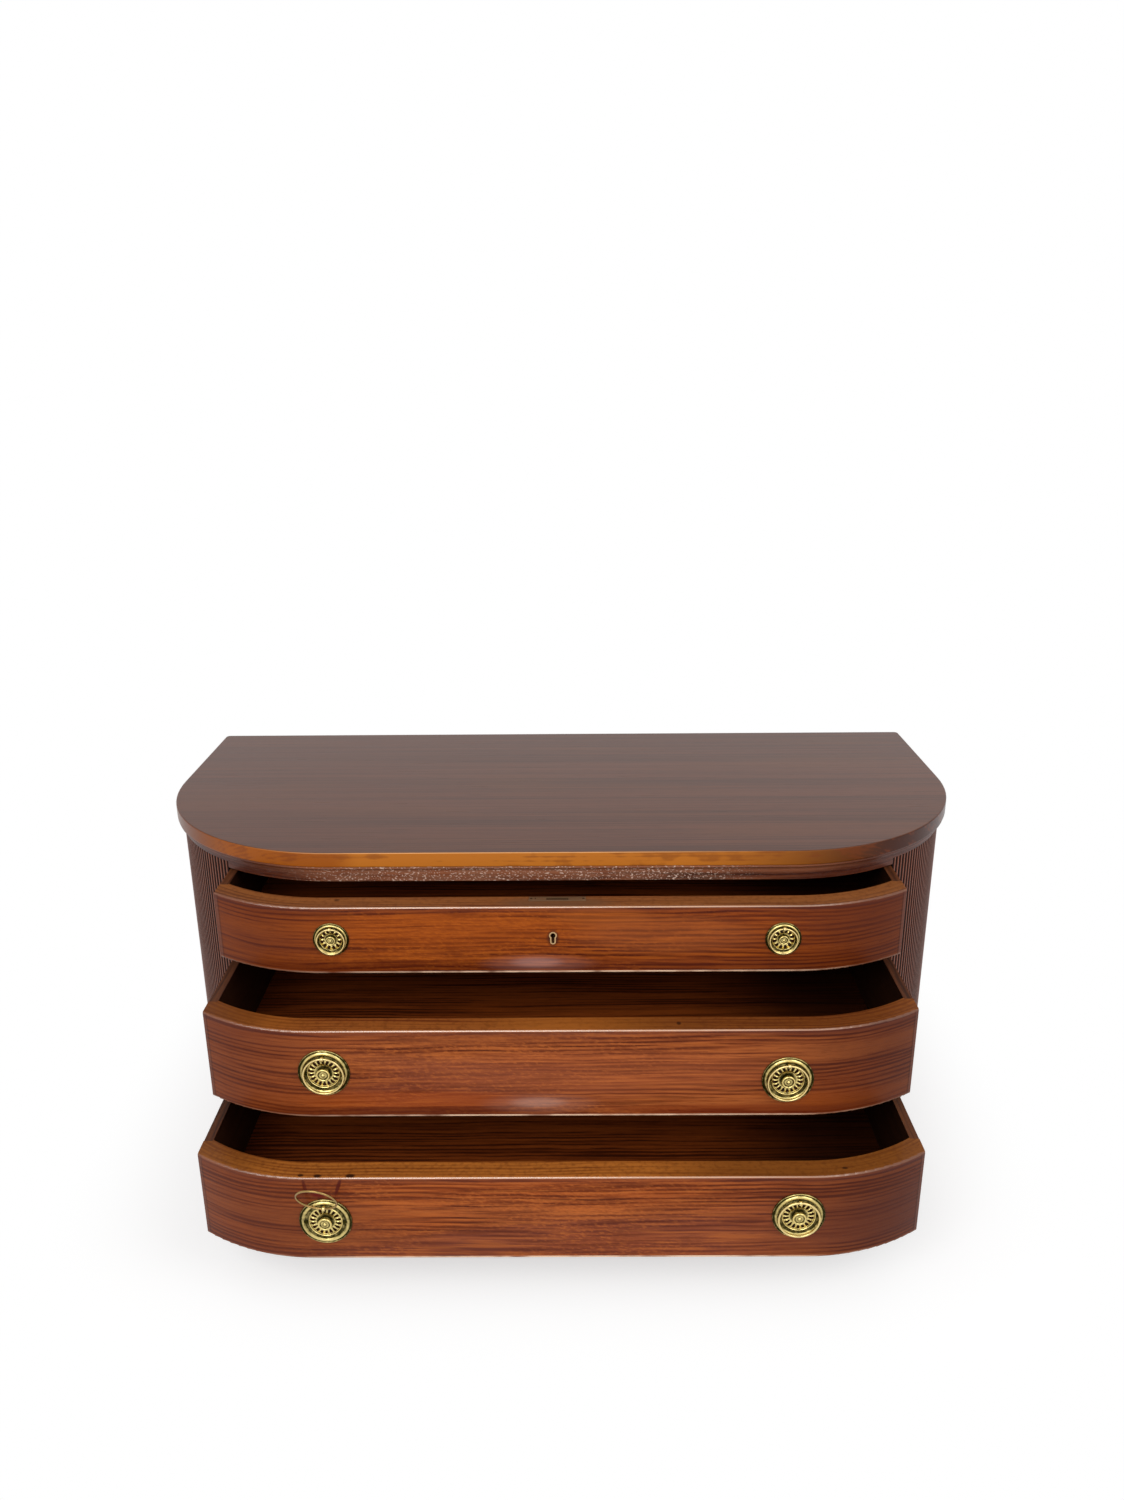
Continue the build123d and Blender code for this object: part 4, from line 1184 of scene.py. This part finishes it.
@dataclass
class Chest:
    """The whole chest: its drawers, and the finish of every node of the frame."""

    nodes: dict
    drawers: tuple[Drawer, ...]

    def paint(self, names: list[str], material: Material, slot: str) -> None:
        """Give nodes a finish.

        Args:
            names: The nodes.
            material: Their finish.
            slot: The name under which the log lists it.
        """
        for name in names:
            node = self.nodes[name]
            node.data.materials.clear()
            node.data.materials.append(material)
        log.info("%s on %s", slot, ", ".join(names))

    def build(self) -> None:
        """Dress the carcass and the drawers."""
        sides, rails = ("left", "right"), ("upper", "lower")
        levels = [drawer.name for drawer in self.drawers]
        inside = [f"{part}_{side}" for part in ("side_wall", "guide_panel") for side in sides]
        inside += [f"{part}_{rail}" for part in ("runners", "dust_board") for rail in rails]
        inside += ["kickers", "plinth_back_rail", "plinth_bearer", "drawer_stops", "glue_blocks"]
        raised = "ring_left_bottom"
        hanging = [f"ring_{side}_{level}" for side in sides for level in levels]
        hanging.remove(raised)
        for finish, slot, names in (
            (TOP_WOOD, "polished_top", ["top_board"]),
            (FRIEZE, "mahogany", ["frieze_rail", "cornice_moulding"]),
            (MAHOGANY, "mahogany", ["rail_upper", "rail_lower", "plinth_band", "base_board"]),
            (REEDED, "reeded_mahogany", [f"reeded_skin_{side}" for side in sides]),
            (CARCASS, "carcass_wood", inside),
            (BACK, "carcass_wood", ["back_panel"]),
            (LINING, "drawer_lining", [f"back_{level}" for level in levels]),
            (LINING_SIDE, "drawer_lining", [f"side_{side}_{level}" for side in sides for level in levels]),
            (SHADED_RING_BRASS, "brass", [raised]),
            (KEYHOLE_BRASS, "lock_brass", ["keyhole_lining"]),
            (LOCK_BRASS, "lock_brass", ["lock_case", "strike_plate"]),
            (LOCK_STEEL, "steel", ["lock_bolt"]),
            (STEEL, "steel", ["lock_screws", "top_screws"]),
        ):
            self.paint(names, finish.make(), slot)
        brass, ring_brass = BRASS.make(), RING_BRASS.make()
        self.paint(hanging, ring_brass, "brass")
        for drawer in self.drawers:
            self.paint([f"front_{drawer.name}"], drawer.front_wood.make(), "drawer_front")
            self.paint([f"bottom_{drawer.name}"], drawer.bottom_wood.make(), "drawer_lining")
            drawer.build(brass, ring_brass)


def make_drawer(
    name: str, handle: Handle, opening: float, places: tuple[Span, ...], heights: Span, shift: float,
    face: tuple[Mark, ...], **looks: object,
) -> Drawer:
    """A drawer with the ribbon-striped timber of its front.

    Args:
        name: Its name.
        handle: Its handles.
        opening: How far it stands open, in millimetres.
        places: x and z of its handles, in millimetres.
        heights: Heights of the front's lower and upper edges, in millimetres.
        shift: Moves the figure.
        face: Marks of its face, to which a painted shadow behind the pierced plates is added.
        looks: What else its front has of its own: tones, and marks of its crest.

    Returns:
        The drawer.
    """
    reach, bow_y = handle.radius * MM, CORNER_Y - opening * MM
    # A painted shadow behind each pierced plate, which shows dark through its slots
    painted_plate_shadow = [Mark(x * MM, z * MM, reach, reach, tone=(6, 3, 2), strength=0.97) for x, z in places]
    looks |= {"face": (*face, *painted_plate_shadow), "foot": heights[0] * MM, "head": heights[1] * MM}
    wood = replace(FRONT_WOOD, name=f"front_veneer_{name}", bow_y=bow_y, shift=shift, **looks)
    bottom = replace(BOTTOM, name=f"drawer_bottom_{name}", bow_y=bow_y, shift=BOTTOM.shift + shift)
    return Drawer(name, handle, opening, places, wood, bottom)


TOP_DRAWER = make_drawer(
    "top", SMALL, opening=64.0, places=((-253.05, 381.46), (246.75, 379.82)), heights=(338.0, 420.0),
    shift=0.0, dark=(84, 28, 6), middle=(132, 58, 15), light=(164, 80, 24), warm=(170, 76, 8),
    fleck=(190, 98, 26), mauve_share=0.2, lipping=(148, 90, 46), lipping_dark=(96, 50, 26),
    face=(
        Mark(-0.12, 0.39, 0.2, 0.03, (176, 82, 10), 0.3),
        Mark(0.045, 0.408, 0.07, 0.014, (182, 96, 36), 0.4),
        Mark(-0.19, 0.345, 0.2, 0.012, (84, 26, 8), 0.5),
        Mark(0.16, 0.346, 0.2, 0.014, (96, 42, 30), 0.35),
        Mark(0.12, 0.385, 0.13, 0.03, (170, 92, 48), 0.35),
        # Painted highlight: a pale sheen low in the middle of the front
        Mark(-0.024, 0.3505, 0.075, 0.013, (196, 146, 136), 0.18, core=0.0),
        Mark(-0.026, 0.3515, 0.036, 0.008, (222, 184, 180), 0.2, core=0.0),
        Mark(-0.0075, 0.3815, 0.0085, 0.012, (66, 26, 10), 0.9),
    ),
    crest=(
        Mark(-0.0035, -0.262, 0.075, 0.018, (104, 70, 46), 0.75),
        Mark(-0.2474, -0.2534, 0.004, 0.0025),
    ),
)
MIDDLE_DRAWER = make_drawer(
    "middle", LARGE, opening=143.5, places=((-253.444, 264.24), (244.125, 253.44)),
    heights=(207.0, 315.0), shift=4.7, lipping=(154, 88, 36), lipping_dark=(100, 46, 18),
    face=(
        Mark(0.04, 0.262, 0.26, 0.036, (182, 98, 58), 0.28),
        Mark(-0.1, 0.305, 0.16, 0.012, (110, 52, 28), 0.35),
        Mark(-0.16, 0.229, 0.16, 0.014, (176, 76, 12), 0.3),
        Mark(-0.16, 0.2135, 0.2, 0.009, (84, 24, 8), 0.6),
        Mark(0.2, 0.215, 0.18, 0.009, (104, 24, 8), 0.55),
        Mark(0.3, 0.228, 0.07, 0.012, (168, 74, 8), 0.4),
        # Painted highlight: a pale sheen low in the middle of the front
        Mark(-0.022, 0.224, 0.075, 0.015, (196, 146, 128), 0.18, core=0.0),
        Mark(-0.024, 0.225, 0.038, 0.008, (216, 176, 160), 0.26, core=0.0),
    ),
    crest=(
        Mark(0.22, -0.335, 0.22, 0.1, (84, 42, 16), 0.4),
        Mark(-0.38, -0.29, 0.09, 0.1, (84, 42, 16), 0.45),
        Mark(0.1269, -0.339, 0.003, 0.004),
    ),
)
BOTTOM_DRAWER = make_drawer(
    "bottom", LARGE, opening=209.5, places=((-248.325, 126.66), (250.294, 131.885)),
    heights=(76.5, 181.0), shift=9.3, lipping=(184, 112, 44), lipping_dark=(124, 66, 24),
    face=(
        Mark(-0.25, 0.118, 0.12, 0.04, (92, 46, 30), 0.3),
        Mark(0.34, 0.125, 0.1, 0.05, (92, 40, 14), 0.25),
        # Painted shadow of the raised ring on the front around it
        Mark(-0.2677, 0.1696, 0.0026, 0.013, (78, 14, 8), 0.8, lean=-0.12),
        Mark(-0.2325, 0.17, 0.0028, 0.013, (78, 14, 8), 0.9, lean=0.33),
        Mark(-0.2521, 0.16, 0.012, 0.004, (104, 10, 8), 0.9),
    ),
    crest=(
        Mark(0.28, -0.39, 0.2, 0.11, (94, 50, 18), 0.65),
        Mark(-0.38, -0.35, 0.1, 0.11, (94, 50, 18), 0.5),
        Mark(-0.2718, -0.4135, 0.004, 0.0028, strength=0.9),
        Mark(-0.254, -0.4145, 0.0056, 0.0034, strength=0.95),
        Mark(-0.2198, -0.4146, 0.0066, 0.0038, strength=0.95),
        Mark(0.2986, -0.4047, 0.004, 0.0022),
    ),
)


def main() -> None:
    """Build the chest and its studio."""
    logging.basicConfig(level=logging.INFO)
    Chest(frame["nodes"], (TOP_DRAWER, MIDDLE_DRAWER, BOTTOM_DRAWER)).build()
    Studio().build()


if __name__ == "__main__":
    main()
